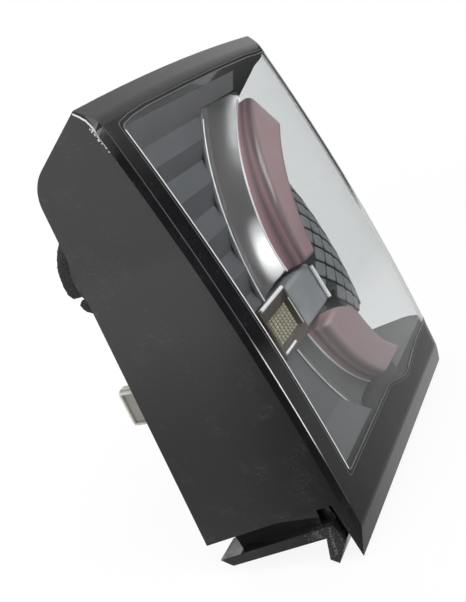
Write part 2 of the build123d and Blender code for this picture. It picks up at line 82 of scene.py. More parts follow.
# Front-view lines of the light guides, and the outline of the clear window, as (x, z) in lens axes
UPPER_OUTER = ((243, -34), (180, -93), (150, -182))
UPPER_INNER = ((241, -73), (191, -120), (166, -181))
LOWER_OUTER = ((128, -235), (139, -270), (176, -317))
LOWER_INNER = ((150, -229), (168, -242), (177, -264), (190, -288), (213, -310))
WINDOW = ((300, -7.3), (268, -7.0), (246, -5.3), (182, -4.2), (120, -4.2), (60, -5.0), (38, -6.5),
          (22.5, -9.2), (20.4, -10.6), (19.5, -13.0), (23.0, -312.5), (23.7, -314.9), (26.0, -315.5),
          (149, -314.5), (181, -327.0), (193, -328.5), (229, -323.5), (244, -321.5), (300, -321.5))

# Places on the back, in the part's frame
PLUG = (-0.097, 0.176)
STUDS = ((-0.085, 0.0), (0.085, 0.0), (0.065, 0.195))
COVER_SCREWS = ((-0.014, 0.080), (0.054, 0.080), (-0.014, 0.130), (0.054, 0.130))

# Camera, in the part's frame
CAMERA_AT = Vector((-0.56724, -0.41625, 0.28865))
CAMERA_RIGHT = Vector((0.4044, -0.8266, -0.3912))
CAMERA_AHEAD = Vector((0.8005, 0.5267, -0.2858))
CAMERA_LENS = 46.64

# Studio: the directions of its two unlit sides, the slant of the lit floor's edge, and its soft white
DARK_SIDE = (0.864, -0.503, 0.0)
DARK_LEFT = (-0.985, -0.17, 0.0)
FLOOR_SLANT = 0.3265
SOFT_LIGHT = 0.5
WHITE = (1.0, 1.0, 1.0, 1.0)


def lens_turn(x, y, z):
    """A direction given in the lens axes, turned into the part's frame."""
    c, s = math.cos(RAKE), math.sin(RAKE)
    return Vector((x, c * y + s * z, c * z - s * y))


def lens_point(x, y, z):
    """A point given in the lens axes, in mm, as a place in the part's frame, in metres."""
    return CORNER + lens_turn(x, y, z) / 1000


def lens_front(z):
    """Depth of the bowed lens face at a height, in lens axes."""
    return LENS_CROWN + (z - LENS_MIDDLE)**2 / (2 * LENS_BOW)


def panel_point(y, z, lift=0.0):
    """A point on the flat inboard panel, lifted off it by some mm."""
    return lens_point(-PANEL_SLOPE * y - lift, y, z)


def seam_depth(z):
    """Depth of the seam between lens and housing on the inboard panel."""
    if z <= SEAM_TOP[0][0]:
        return lens_front(z) + SEAM_SETBACK
    for (z0, y0), (z1, y1) in zip(SEAM_TOP, SEAM_TOP[1:]):
        if z <= z1:
            return y0 + (y1 - y0) * (z - z0) / (z1 - z0)
    return SEAM_TOP[-1][1]


def arc_radius(x, z):
    """Distance from the common centre of the curved bezels, in front view."""
    return math.hypot(x - ARC_CENTRE[0], z - ARC_CENTRE[1])


def hollow_depth(x, z):
    """Depth of the upper curved bezel's face: a bed that rises to the rim and, gently, to its lower end."""
    bed_radius, roll, low_end, low_rise = 145.0, 71.0, -140.0, 0.0017
    rise = RIM_RISE * min(1.0, max(0.0, (arc_radius(x, z) - bed_radius) / roll))**3
    return BED - rise - low_rise * max(0.0, low_end - z)**2 * (1.0 - rise / RIM_RISE)


# Shader nodes, and groups shared by several finishes

def add_node(tree, kind, inputs=None, **settings):
    """A node with its settings made, then its inputs: a socket is linked, anything else is its value."""
    node = tree.nodes.new(kind)
    for label, value in settings.items():
        setattr(node, label, value)
    for label, value in (inputs or {}).items():
        if isinstance(value, bpy.types.NodeSocket):
            tree.links.new(value, node.inputs[label])
        else:
            node.inputs[label].default_value = value
    return node


def math_node(tree, operation, a, b=None, clamp=False):
    """Output socket of a math node whose inputs are numbers or sockets."""
    inputs = {0: a} if b is None else {0: a, 1: b}
    return add_node(tree, "ShaderNodeMath", inputs, operation=operation, use_clamp=clamp).outputs[0]


def vector_node(tree, operation, *vectors):
    """Value socket of a vector math node whose inputs are tuples or sockets."""
    node = add_node(tree, "ShaderNodeVectorMath", dict(enumerate(vectors)), operation=operation)
    return node.outputs["Value"]


def noise_node(tree, vector, scale, detail=4.0, roughness=0.55):
    """Factor socket of a noise texture; scale may be a socket."""
    inputs = {"Vector": vector, "Scale": scale, "Detail": detail, "Roughness": roughness}
    return add_node(tree, "ShaderNodeTexNoise", inputs).outputs[0]


def step_node(tree, value, low, high, out_low=0.0, out_high=1.0):
    """A smooth step from low to high; any limit may be a socket."""
    inputs = {"Value": value, "From Min": low, "From Max": high, "To Min": out_low, "To Max": out_high}
    return add_node(tree, "ShaderNodeMapRange", inputs, interpolation_type="SMOOTHSTEP").outputs["Result"]


def axes(tree, coords):
    """The X, Y and Z sockets of a place."""
    return add_node(tree, "ShaderNodeSeparateXYZ", {0: coords}).outputs


def show_shaders(tree, share, first, second, output="Material Output"):
    """Show the second shader by a share, and the first by the rest."""
    mix = add_node(tree, "ShaderNodeMixShader", {0: share, 1: first.outputs[0], 2: second.outputs[0]})
    tree.links.new(mix.outputs[0], tree.nodes[output].inputs["Surface"])


def new_group(name, inputs, outputs):
    """An empty shader group: an input is a value or a vector as its default is, and an output is a value."""
    tree = bpy.data.node_groups.new(name, "ShaderNodeTree")
    for label, default in {"Vector": (0.0, 0.0, 0.0), **inputs}.items():
        kind = "NodeSocketFloat" if isinstance(default, float) else "NodeSocketVector"
        tree.interface.new_socket(name=label, in_out="INPUT", socket_type=kind).default_value = default
    for label in outputs:
        tree.interface.new_socket(name=label, in_out="OUTPUT", socket_type="NodeSocketFloat")
    return tree, tree.nodes.new("NodeGroupInput").outputs, tree.nodes.new("NodeGroupOutput").inputs


def build_grain_group(name):
    """Fine moulded grain: a roughness that wanders and a height for the bump."""
    tree, given, out = new_group(name, {"Scale": 900.0, "Roughness": 0.4, "Spread": 0.08},
                                 ("Roughness", "Height"))
    fine = noise_node(tree, given["Vector"], given["Scale"], 6.0)
    broad = noise_node(tree, given["Vector"], math_node(tree, "MULTIPLY", given["Scale"], 0.06))
    wander = math_node(tree, "SUBTRACT", math_node(tree, "ADD", fine, broad), 1.0)
    spread = math_node(tree, "MULTIPLY", wander, given["Spread"])
    tree.links.new(math_node(tree, "ADD", given["Roughness"], spread, True), out["Roughness"])
    tree.links.new(fine, out["Height"])
    return tree


def build_dust_group(name):
    """Scattered dust specks."""
    tree, given, out = new_group(name, {"Scale": 420.0, "Amount": 0.08}, ("Specks",))
    cells = add_node(tree, "ShaderNodeTexVoronoi", {"Vector": given["Vector"], "Scale": given["Scale"]})
    reach = math_node(tree, "MULTIPLY", given["Amount"], 3.0)
    near = step_node(tree, cells.outputs["Distance"], 0.0, reach, 1.0, 0.0)
    split = add_node(tree, "ShaderNodeSeparateColor", {0: cells.outputs["Color"]})
    few = step_node(tree, split.outputs[0], math_node(tree, "SUBTRACT", 1.0, given["Amount"]), 1.0)
    tree.links.new(math_node(tree, "MULTIPLY", near, few, True), out["Specks"])
    return tree


def build_scratch_group(name):
    """Hairline scratches running along a stretched direction, broken into short lengths."""
    tree, given, out = new_group(
        name, {"Stretch": (60.0, 900.0, 900.0), "Tilt": (0.5, 0.2, 0.3), "Width": 0.02}, ("Scratch",))
    turn = add_node(tree, "ShaderNodeMapping", {"Vector": given["Vector"], "Rotation": given["Tilt"],
                                                "Scale": given["Stretch"]})
    lines = noise_node(tree, turn.outputs["Vector"], 1.0, 2.0)
    off = math_node(tree, "ABSOLUTE", math_node(tree, "SUBTRACT", lines, 0.5))
    thin = step_node(tree, off, 0.0, given["Width"], 1.0, 0.0)
    lengths = step_node(tree, noise_node(tree, given["Vector"], 38.0, 3.0), 0.5, 0.66)
    tree.links.new(math_node(tree, "MULTIPLY", thin, lengths, True), out["Scratch"])
    return tree


def build_patch_group(name):
    """A ragged patch about a point: 1 at the middle, fading by the reach."""
    tree, given, out = new_group(
        name, {"Middle": (0.0, 0.0, 0.0), "Reach": 0.03, "Raggedness": 0.5, "Scale": 90.0}, ("Patch",))
    gap = vector_node(tree, "DISTANCE", given["Vector"], given["Middle"])
    part = math_node(tree, "DIVIDE", gap, given["Reach"])
    torn = math_node(tree, "SUBTRACT", noise_node(tree, given["Vector"], given["Scale"], 5.0), 0.5)
    edge = math_node(tree, "ADD", part, math_node(tree, "MULTIPLY", torn, given["Raggedness"]))
    tree.links.new(step_node(tree, edge, 0.45, 1.0, 1.0, 0.0), out["Patch"])
    return tree


GROUP_BUILDERS = {"moulded_grain": build_grain_group, "dust_specks": build_dust_group,
                  "hairline_scratches": build_scratch_group, "ragged_patch": build_patch_group}


# Finishes

MADE = {}


class Finish:
    """A material being built: its tree, its Principled shader and object coordinates."""

    def __init__(self, name, colour, **values):
        self.material = MADE[name] = bpy.data.materials.new(name)
        self.material.use_nodes = True
        self.tree = self.material.node_tree
        self.shader = self.tree.nodes["Principled BSDF"]
        self.coords = self.tree.nodes.new("ShaderNodeTexCoord").outputs["Object"]
        self.colour = (*colour, 1.0)
        self.rough = None
        self.normal = None
        for label, value in {"Base_Color": self.colour, "IOR": 1.5, **values}.items():
            self.shader.inputs[label.replace("_", " ")].default_value = value

    def group(self, name, **values):
        """Output sockets of one of the shared groups, fed with object coordinates."""
        shared = bpy.data.node_groups.get(name) or GROUP_BUILDERS[name](name)
        inputs = {"Vector": self.coords, **values}
        return add_node(self.tree, "ShaderNodeGroup", inputs, node_tree=shared).outputs

    def stored(self, name):
        """A mask stored on the mesh."""
        return add_node(self.tree, "ShaderNodeAttribute", attribute_name=name).outputs["Fac"]

    def along(self, axis, low, high, start=0.0, end=1.0):
        """A mask that changes smoothly along an axis, between two places."""
        return step_node(self.tree, axes(self.tree, self.coords)[axis], low, high, start, end)

    def blotches(self, scale, low, high, detail=6.0, roughness=0.55):
        """A mask of noise, 0 below low and 1 above high."""
        return step_node(self.tree, noise_node(self.tree, self.coords, scale, detail, roughness), low, high)

    def patch(self, middle, reach, raggedness, scale):
        """A ragged patch mask about a point of the lens axes."""
        return self.group("ragged_patch", Middle=lens_point(*middle), Reach=reach, Raggedness=raggedness,
                          Scale=scale)["Patch"]

    def tint(self, mask, colour, share=1.0):
        """Mix another colour in where a mask is high."""
        factor = math_node(self.tree, "MULTIPLY", mask, share, True)
        inputs = {"A": self.colour, "B": (*colour, 1.0), "Factor": factor}
        self.colour = add_node(self.tree, "ShaderNodeMix", inputs, data_type="RGBA").outputs["Result"]
        self.tree.links.new(self.colour, self.shader.inputs["Base Color"])

    def grain(self, scale, roughness, spread, bump=0.0):
        """Moulded grain on roughness, and a little on the bump."""
        made = self.group("moulded_grain", Scale=scale, Roughness=roughness, Spread=spread)
        self.rough = made["Roughness"]
        self.tree.links.new(self.rough, self.shader.inputs["Roughness"])
        if bump > 0:
            self.bump(made["Height"], bump)

    def rougher(self, mask, amount):
        """Add to the roughness where a mask is high."""
        more = math_node(self.tree, "MULTIPLY", mask, amount)
        self.rough = math_node(self.tree, "ADD", self.rough, more, True)
        self.tree.links.new(self.rough, self.shader.inputs["Roughness"])

    def bump(self, height, strength, distance=0.0004):
        """A bump under the shader's normal; a second one rides on the first."""
        inputs = {"Strength": strength, "Distance": distance, "Height": height}
        if self.normal is not None:
            inputs["Normal"] = self.normal
        self.normal = add_node(self.tree, "ShaderNodeBump", inputs).outputs["Normal"]
        self.tree.links.new(self.normal, self.shader.inputs["Normal"])

    def mottle(self, scale, colour, low=0.45, high=0.75, share=0.5):
        """Broad colour variation."""
        self.tint(self.blotches(scale, low, high), colour, share)

    def dust(self, scale, amount, colour, share):
        """Dust specks."""
        self.tint(self.group("dust_specks", Scale=scale, Amount=amount)["Specks"], colour, share)

    def scratches(self, stretch, tilt, width, colour, share, rough):
        """Hairline scratches, lighter and rougher."""
        mask = self.group("hairline_scratches", Stretch=stretch, Tilt=tilt, Width=width)["Scratch"]
        self.tint(mask, colour, share)
        self.rougher(mask, rough)

    def see_through(self, tint):
        """Let the lamps' light pass: shadow rays go straight through, tinted."""
        path = self.tree.nodes.new("ShaderNodeLightPath")
        clear = add_node(self.tree, "ShaderNodeBsdfTransparent", {"Color": (*tint, 1.0)})
        show_shaders(self.tree, path.outputs["Is Shadow Ray"], self.shader, clear)


def shaded(colour, share):
    """A colour made darker or lighter by a share, no brighter than white."""
    return [min(1.0, v * share) for v in colour]


def plain_plastic(name, colour, roughness, grain_scale=1400.0, bump=0.12, lighter=1.35):
    """Moulded plastic: grain and broad variation."""
    finish = Finish(name, colour)
    finish.mottle(55.0, shaded(colour, lighter), share=0.4)
    finish.grain(grain_scale, roughness, 0.08, bump)
    return finish


def gloss_black(name, colours):
    """High-gloss black plastic with dust."""
    finish = Finish(name, colours.gloss_black)
    finish.mottle(40.0, shaded(colours.gloss_black, 1.5), share=0.4)
    finish.grain(300.0, 0.06, 0.03)
    finish.dust(520.0, 0.05, (0.35, 0.35, 0.36), 0.6)
    return finish


def make_lens_black(colours):
    """Black of the lens border: faint hairlines and a faint pale patch by the worn seam."""
    finish = gloss_black("lens_black", colours)
    finish.scratches((50, 700, 700), (0.3, 0.1, 0.5), 0.012, (0.09, 0.09, 0.095), 0.5, 0.1)
    finish.tint(finish.patch((-3, 12, -14), 0.018, 0.9, 500.0), (0.45, 0.45, 0.46), 0.05)
    return finish


def make_housing_black(colours):
    """Black of the housing: greyer towards the top as a painted reflection, with hairlines, a pale rail end
    and scuffs on the leg.
    """
    finish = gloss_black("housing_black", colours)
    # Painted reflection: the black turns greyer towards the top, standing in for the lighter reflection there
    finish.tint(finish.along("Z", -0.02, 0.30), (0.040, 0.040, 0.041), 0.8)
    finish.rougher(finish.blotches(26.0, 0.4, 0.7, 8.0, 0.7), 0.10)
    finish.scratches((14, 420, 420), (0.9, 0.25, 0.4), 0.010, (0.10, 0.10, 0.105), 0.55, 0.18)
    finish.scratches((420, 10, 420), (0.15, 0.5, 0.2), 0.008, (0.12, 0.115, 0.11), 0.5, 0.16)
    finish.tint(finish.patch((-14, 134, -346), 0.0095, 0.3, 200.0), (0.52, 0.50, 0.46), 0.9)
    for middle, reach, share in (((-8, 26, -346), 0.022, 0.55), ((-6, 30, -362), 0.018, 0.5)):
        scuff = finish.patch(middle, reach, 1.3, 260.0)
        crumbs = finish.blotches(900.0, 0.52, 0.66, 6.0, 0.7)
        finish.tint(math_node(finish.tree, "MULTIPLY", scuff, crumbs), (0.22, 0.21, 0.20), share)
        finish.rougher(scuff, 0.35)
    return finish


def make_lens_clear(colours):
    """Clear lens with a little dust."""
    finish = Finish("lens_clear", colours.clear, IOR=1.49, Transmission_Weight=1.0)
    finish.grain(60.0, 0.012, 0.012)
    finish.dust(600.0, 0.03, (0.8, 0.8, 0.8), 0.5)
    finish.see_through((0.93, 0.94, 0.94))
    return finish


def make_guide_red(colours):
    """Pale red guide: painted lighter along its outer wall, painted shade on the rounded edge, milky on the
    face.
    """
    finish = Finish("guide_red", colours.guide_face, Coat_Weight=0.5, Subsurface_Weight=0.25,
                    Subsurface_Radius=(0.006, 0.002, 0.002))
    # Painted light and shade: the one plastic gets a lighter colour on its outer wall and a darker one on its
    # rounded edge
    finish.tint(finish.stored("wall"), colours.guide_wall_painted_light, 1.0)
    finish.tint(finish.stored("edge"), colours.guide_edge_painted_shade, 0.85)
    finish.mottle(45.0, shaded(colours.guide_face, 0.82), share=0.35)
    finish.grain(500.0, 0.10, 0.04)
    return finish


def make_scales(colours):
    """Grey tiles, with painted shade where their edges fall away into the gaps."""
    finish = plain_plastic("scale_grey", colours.scale_grey, 0.38, 1600.0, 0.1)
    # Painted shade: the tiles' rims are darkened where they drop into the gaps
    finish.tint(finish.stored("rim"), (0.03, 0.032, 0.035), 0.92)
    return finish


def make_satin(name, colour, roughness, metallic):
    """Satin paint with a fine, even grain."""
    finish = Finish(name, colour, Metallic=metallic)
    finish.mottle(30.0, shaded(colour, 1.12), share=0.4)
    finish.grain(1800.0, roughness, 0.015)
    return finish


def make_optic(colours):
    """Prisms of the small lamp: a painted warm glint under a clear coat."""
    finish = Finish("optic_clear", colours.optic, IOR=1.49, Coat_Weight=0.6)
    # Painted highlight: warm, lighter blotches stand for glints
    finish.mottle(420.0, (0.66, 0.62, 0.44), 0.4, 0.6, 0.6)
    finish.grain(800.0, 0.10, 0.06)
    return finish


def make_metal(name, colour, roughness, bump=0.05, scale=1500.0):
    """Bare metal, a little uneven."""
    finish = Finish(name, colour, Metallic=1.0)
    finish.mottle(120.0, shaded(colour, 0.75), share=0.5)
    finish.grain(scale, roughness, 0.12, bump)
    return finish


def make_foam(colours):
    """Open-celled foam with painted shade in its pits and dust in its cells."""
    finish = Finish("foam_black", colours.foam)
    cells = add_node(finish.tree, "ShaderNodeTexVoronoi", {"Vector": finish.coords, "Scale": 900.0})
    depth = cells.outputs["Distance"]
    # Painted shade: the pits of the cells are left darker than their rims
    finish.tint(step_node(finish.tree, depth, 0.2, 0.7), (0.035, 0.033, 0.03), 0.9)
    finish.grain(1100.0, 0.9, 0.1)
    finish.bump(depth, 0.9, 0.0012)
    finish.dust(300.0, 0.08, (0.30, 0.26, 0.2), 0.5)
    return finish


def make_bulb_glass():
    """Clear glass of the bulb."""
    finish = Finish("bulb_glass", (0.8, 0.8, 0.8), Transmission_Weight=1.0)
    finish.grain(300.0, 0.02, 0.02)
    finish.see_through((0.9, 0.9, 0.9))
    return finish


def make_edge_highlight():
    """Rounded corner of the lens, with a painted highlight along its lower middle."""
    finish = Finish("edge_line", (0.06, 0.06, 0.063))
    lit = math_node(finish.tree, "MULTIPLY", finish.along("Z", -0.01, 0.03),
                    finish.along("Z", 0.075, 0.11, 1.0, 0.0))
    # Painted highlight: white along the lower middle of the rounded corner
    finish.tint(lit, (0.85, 0.85, 0.86), 0.9)
    finish.grain(700.0, 0.25, 0.08)
    return finish


def make_nylon(colours):
    """Pale nylon, with painted shade inside the clip's pocket."""
    finish = plain_plastic("nylon_pale", colours.nylon, 0.36, 900.0, 0.06, 1.12)
    # Painted shade: the inside of the pocket is darkened
    finish.tint(finish.along("X", -0.1415, -0.1403), (0.20, 0.19, 0.165), 0.85)
    return finish


def make_board(name, colour, copper):
    """Circuit board: masked copper showing as a faint lattice under the resist."""
    finish = Finish(name, colour)
    inputs = {"Vector": finish.coords, "Scale": 180.0, "Mortar Size": 0.06}
    bricks = add_node(finish.tree, "ShaderNodeTexBrick", inputs)
    finish.tint(bricks.outputs["Fac"], copper, 0.35)
    finish.grain(900.0, 0.35, 0.08, 0.05)
    return finish


def found_material(name):
    """A finish's material by name."""
    if name not in MADE:
        raise RuntimeError(f"finish {name} isn't made yet; run the finishes operator first")
    return MADE[name]


def paint(node, material):
    """Give a CAD node its finish."""
    slots = NODES[node].data.materials
    slots.clear()
    slots.append(material)


def finish_piece(name, mesh, finish=None, replaced=()):
    """Link a finished mesh as a piece that rides on the lamp, with a finish where it has none yet."""
    piece = bpy.data.objects.new(name, mesh)
    bpy.context.scene.collection.objects.link(piece)
    if finish is not None:
        mesh.materials.clear()
        mesh.materials.append(found_material(finish))
    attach(piece, "root")
    if replaced:
        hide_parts(*replaced)
    return piece


# Meshes

def smooth(mesh, angle=35.0):
    """Shade smooth, with edges sharper than the angle kept crisp."""
    mesh.shade_smooth()
    mesh.set_sharp_from_angle(angle=math.radians(angle))


def mesh_from(name, build):
    """A mesh written by a function that fills a bmesh; doubles merged, normals outward."""
    work = bmesh.new()
    build(work)
    bmesh.ops.remove_doubles(work, verts=work.verts, dist=1e-6)
    bmesh.ops.recalc_face_normals(work, faces=work.faces)
    mesh = bpy.data.meshes.new(name)
    work.to_mesh(mesh)
    work.free()
    return mesh


def join_meshes(name, parts):
    """One mesh out of several, materials kept in order."""
    work = bmesh.new()
    materials = []
    for part in parts:
        remap = {}
        for index, material in enumerate(part.materials):
            if material not in materials:
                materials.append(material)
            remap[index] = materials.index(material)
        before = len(work.faces)
        work.from_mesh(part)
        work.faces.ensure_lookup_table()
        for face in work.faces[before:]:
            face.material_index = remap.get(face.material_index, 0)
    mesh = bpy.data.meshes.new(name)
    work.to_mesh(mesh)
    work.free()
    for material in materials:
        mesh.materials.append(material)
    return mesh


def outline_tube(work, rings):
    """Skin closed rings of points into faces, with a cap at both ends; gives the rows of vertices."""
    rows = [[work.verts.new(p) for p in ring] for ring in rings]
    count = len(rows[0])
    for a, b in zip(rows, rows[1:]):
        for i in range(count):
            j = (i + 1) % count
            work.faces.new((a[i], a[j], b[j], b[i]))
    work.faces.new(list(reversed(rows[0])))
    work.faces.new(rows[-1])
    return rows


def tube_mesh(name, rings):
    """A mesh of one skinned tube."""
    return mesh_from(name, lambda work: outline_tube(work, rings))


def circle(radius, y, sides):
    """Points of a circle about the Y axis."""
    angles = [2 * math.pi * k / sides for k in range(sides)]
    return [(radius * math.cos(a), y, radius * math.sin(a)) for a in angles]


def turned(work, profile, sides=28):
    """A form turned about the Y axis from (radius, y) pairs."""
    outline_tube(work, [circle(max(r, 1e-5), y, sides) for r, y in profile])


# Geometry Nodes

def new_tree(name, **inputs):
    """An empty geometry tree with named inputs; gives the tree, its input and its output sockets."""
    tree = bpy.data.node_groups.new(name, "GeometryNodeTree")
    for label, kind in {"Geometry": "Geometry", **inputs, "Material": "Material"}.items():
        tree.interface.new_socket(name=label, in_out="INPUT", socket_type="NodeSocket" + kind)
    tree.interface.new_socket(name="Geometry", in_out="OUTPUT", socket_type="NodeSocketGeometry")
    return tree, tree.nodes.new("NodeGroupInput").outputs, tree.nodes.new("NodeGroupOutput").inputs


def end_tree(tree, given, out, geometry):
    """Close a tree: realize its instances and set the material named by the input."""
    real = add_node(tree, "GeometryNodeRealizeInstances", {"Geometry": geometry})
    dress = add_node(tree, "GeometryNodeSetMaterial", {"Geometry": real.outputs["Geometry"],
                                                       "Material": given["Material"]})
    tree.links.new(dress.outputs["Geometry"], out["Geometry"])
    return tree


def sweep_node(tree, line, profile):
    """Mesh socket of a closed section swept along a curve."""
    inputs = {"Curve": line, "Profile Curve": profile, "Fill Caps": True}
    return add_node(tree, "GeometryNodeCurveToMesh", inputs).outputs["Mesh"]


def bead_tree(name):
    """A bead of round section along a chain of edges."""
    tree, given, out = new_tree(name, Radius="Float", Sides="Int")
    line = add_node(tree, "GeometryNodeMeshToCurve", {"Mesh": given["Geometry"]})
    ring = add_node(tree, "GeometryNodeCurvePrimitiveCircle", {"Radius": given["Radius"],
                                                               "Resolution": given["Sides"]})
    return end_tree(tree, given, out, sweep_node(tree, line.outputs["Curve"], ring.outputs["Curve"]))


def copies_tree(name):
    """Places copies of a small source piece on points, each turned by the angles stored there."""
    tree, given, out = new_tree(name, Source="Object")
    source = add_node(tree, "GeometryNodeObjectInfo", {"Object": given["Source"], "As Instance": True})
    turn = add_node(tree, "GeometryNodeInputNamedAttribute", {"Name": "turn"}, data_type="FLOAT_VECTOR")
    rotation = add_node(tree, "FunctionNodeEulerToRotation", {0: turn.outputs["Attribute"]})
    place = add_node(tree, "GeometryNodeInstanceOnPoints", {
        "Points": given["Geometry"], "Instance": source.outputs["Geometry"], "Rotation": rotation.outputs[0]})
    return end_tree(tree, given, out, place.outputs["Instances"])


def thread_tree(name):
    """A thread's ridge: a spiral swept with a small four-sided section."""
    tree, given, out = new_tree(name, Pitch="Float", Length="Float", Radius="Float", Ridge="Float")
    spiral = add_node(tree, "GeometryNodeCurveSpiral", {
        "Resolution": 20, "Rotations": math_node(tree, "DIVIDE", given["Length"], given["Pitch"]),
        "Start Radius": given["Radius"], "End Radius": given["Radius"], "Height": given["Length"]})
    ring = add_node(tree, "GeometryNodeCurvePrimitiveCircle", {"Resolution": 4, "Radius": given["Ridge"]})
    ridge = sweep_node(tree, spiral.outputs["Curve"], ring.outputs["Curve"])
    turn = add_node(tree, "GeometryNodeTransform", {"Geometry": ridge, "Rotation": (-math.pi / 2, 0.0, 0.0)})
    return end_tree(tree, given, out, turn.outputs["Geometry"])


TREE_BUILDERS = {"round_bead": bead_tree, "placed_copies": copies_tree, "stud_thread": thread_tree}


def run_tree(name, start, values):
    """Evaluate a tree on a start mesh with its inputs set by identifier; gives a plain mesh."""
    tree = bpy.data.node_groups.get(name) or TREE_BUILDERS[name](name)
    holder = bpy.data.objects.new(start.name + "_holder", start)
    bpy.context.scene.collection.objects.link(holder)
    modifier = holder.modifiers.new("nodes", "NODES")
    modifier.node_group = tree
    for item in tree.interface.items_tree:
        if item.in_out == "INPUT" and item.name in values:
            modifier[item.identifier] = values[item.name]
    bpy.context.view_layer.update()
    graph = bpy.context.evaluated_depsgraph_get()
    mesh = bpy.data.meshes.new_from_object(holder.evaluated_get(graph), depsgraph=graph)
    holder.modifiers.clear()
    bpy.data.objects.remove(holder)
    if not mesh.polygons:
        raise RuntimeError(f"the tree {name} made no faces")
    return mesh


def point_mesh(name, points, links=()):
    """A mesh of bare points, and edges between them if asked."""
    mesh = bpy.data.meshes.new(name)
    mesh.from_pydata([tuple(p) for p in points], list(links), [])
    return mesh


def bead_piece(name, path, radius, sides, finish, rounded=True):
    """A bead of round section along a path, as a piece."""
    start = point_mesh(name + "_path", path, [(i, i + 1) for i in range(len(path) - 1)])
    values = {"Radius": radius, "Sides": sides, "Material": found_material(finish)}
    mesh = run_tree("round_bead", start, values)
    if rounded:
        smooth(mesh)
    finish_piece(name, mesh)


def scatter_mesh(name, source, places, turns, finish):
    """Copies of a source mesh on a list of places, with a turn for each."""
    start = point_mesh(name + "_places", places)
    attribute = start.attributes.new("turn", "FLOAT_VECTOR", "POINT")
    for item, turn in zip(attribute.data, turns):
        item.vector = turn
    holder = bpy.data.objects.new(name + "_source", source)
    bpy.context.scene.collection.objects.link(holder)
    mesh = run_tree("placed_copies", start, {"Source": holder, "Material": found_material(finish)})
    bpy.data.objects.remove(holder)
    return mesh


# Settings a user would change

def length_setting(name, description, default, low, high):
    """A length of the settings, in metres."""
    return FloatProperty(name=name, description=description, default=default, min=low, max=high,
                         unit="LENGTH")


def count_setting(name, description, default):
    """A number of like details of the settings."""
    return IntProperty(name=name, description=description, default=default, min=4, max=24)


def colour_setting(name, description, default):
    """A colour of the settings, linear."""
    return FloatVectorProperty(name=name, description=description, default=default, subtype="COLOR",
                               size=3, min=0.0, max=1.0)


class TailLightSizes(bpy.types.PropertyGroup):
    """Sizes of the fine details."""
    tile_size: length_setting("Tile Size", "Side of one tile of the scaled panel", 0.0131, 0.004, 0.02)
    tile_lift: FloatProperty(name="Tile Lift", description="How far each tile tips up over the next",
                             default=math.radians(3.0), subtype="ANGLE")
    guide_round: length_setting("Guide Rounding", "Rounding along the edges of the light guides",
                                0.0045, 0.001, 0.008)
    bead_width: length_setting("Window Bead", "Radius of the moulded step round the window",
                               0.00045, 0.0002, 0.002)
    thread_pitch: length_setting("Thread Pitch", "Pitch of the stud threads", 0.001, 0.0005, 0.002)
    prism_columns: count_setting("Prism Columns", "Prisms across the small clear lamp", 9)
    prism_rows: count_setting("Prism Rows", "Prisms down the small clear lamp", 8)


class TailLightColours(bpy.types.PropertyGroup):
    """Colours of the finishes, linear."""
    gloss_black: colour_setting("Gloss Black", "Housing and lens border", (0.008, 0.008, 0.009))
    clear: colour_setting("Clear", "Clear lens", (0.90, 0.915, 0.915))
    bezel_dark: colour_setting("Dark Bezel", "Louvred inner bezel", (0.092, 0.095, 0.103))
    bezel_satin: colour_setting("Satin Bezel", "Curved bezels round the guides", (0.135, 0.14, 0.143))
    guide_face: colour_setting("Guide Face", "Wide face of the light guides", (0.325, 0.222, 0.235))
    # The guides' wall colour is painted light and their edge colour is painted shade, on one plastic
    guide_wall_painted_light: colour_setting("Guide Wall", "Outer wall of the light guides", (0.52, 0.32, 0.345))
    guide_edge_painted_shade: colour_setting("Guide Edge", "Rounded edge between wall and face", (0.13, 0.10, 0.105))
    bridge: colour_setting("Bridge", "Block between the guides", (0.275, 0.285, 0.30))
    scale_grey: colour_setting("Scales", "Tiles of the scaled panel", (0.19, 0.20, 0.21))
    optic: colour_setting("Optic", "Prisms of the small lamp", (0.45, 0.42, 0.32))
    nylon: colour_setting("Nylon", "Locating clip", (0.52, 0.51, 0.47))
    foam: colour_setting("Foam", "Seal ring", (0.012, 0.012, 0.011))
    aluminium: colour_setting("Aluminium", "Driver cover", (0.55, 0.56, 0.57))


# Operators, one for each piece or group of like pieces

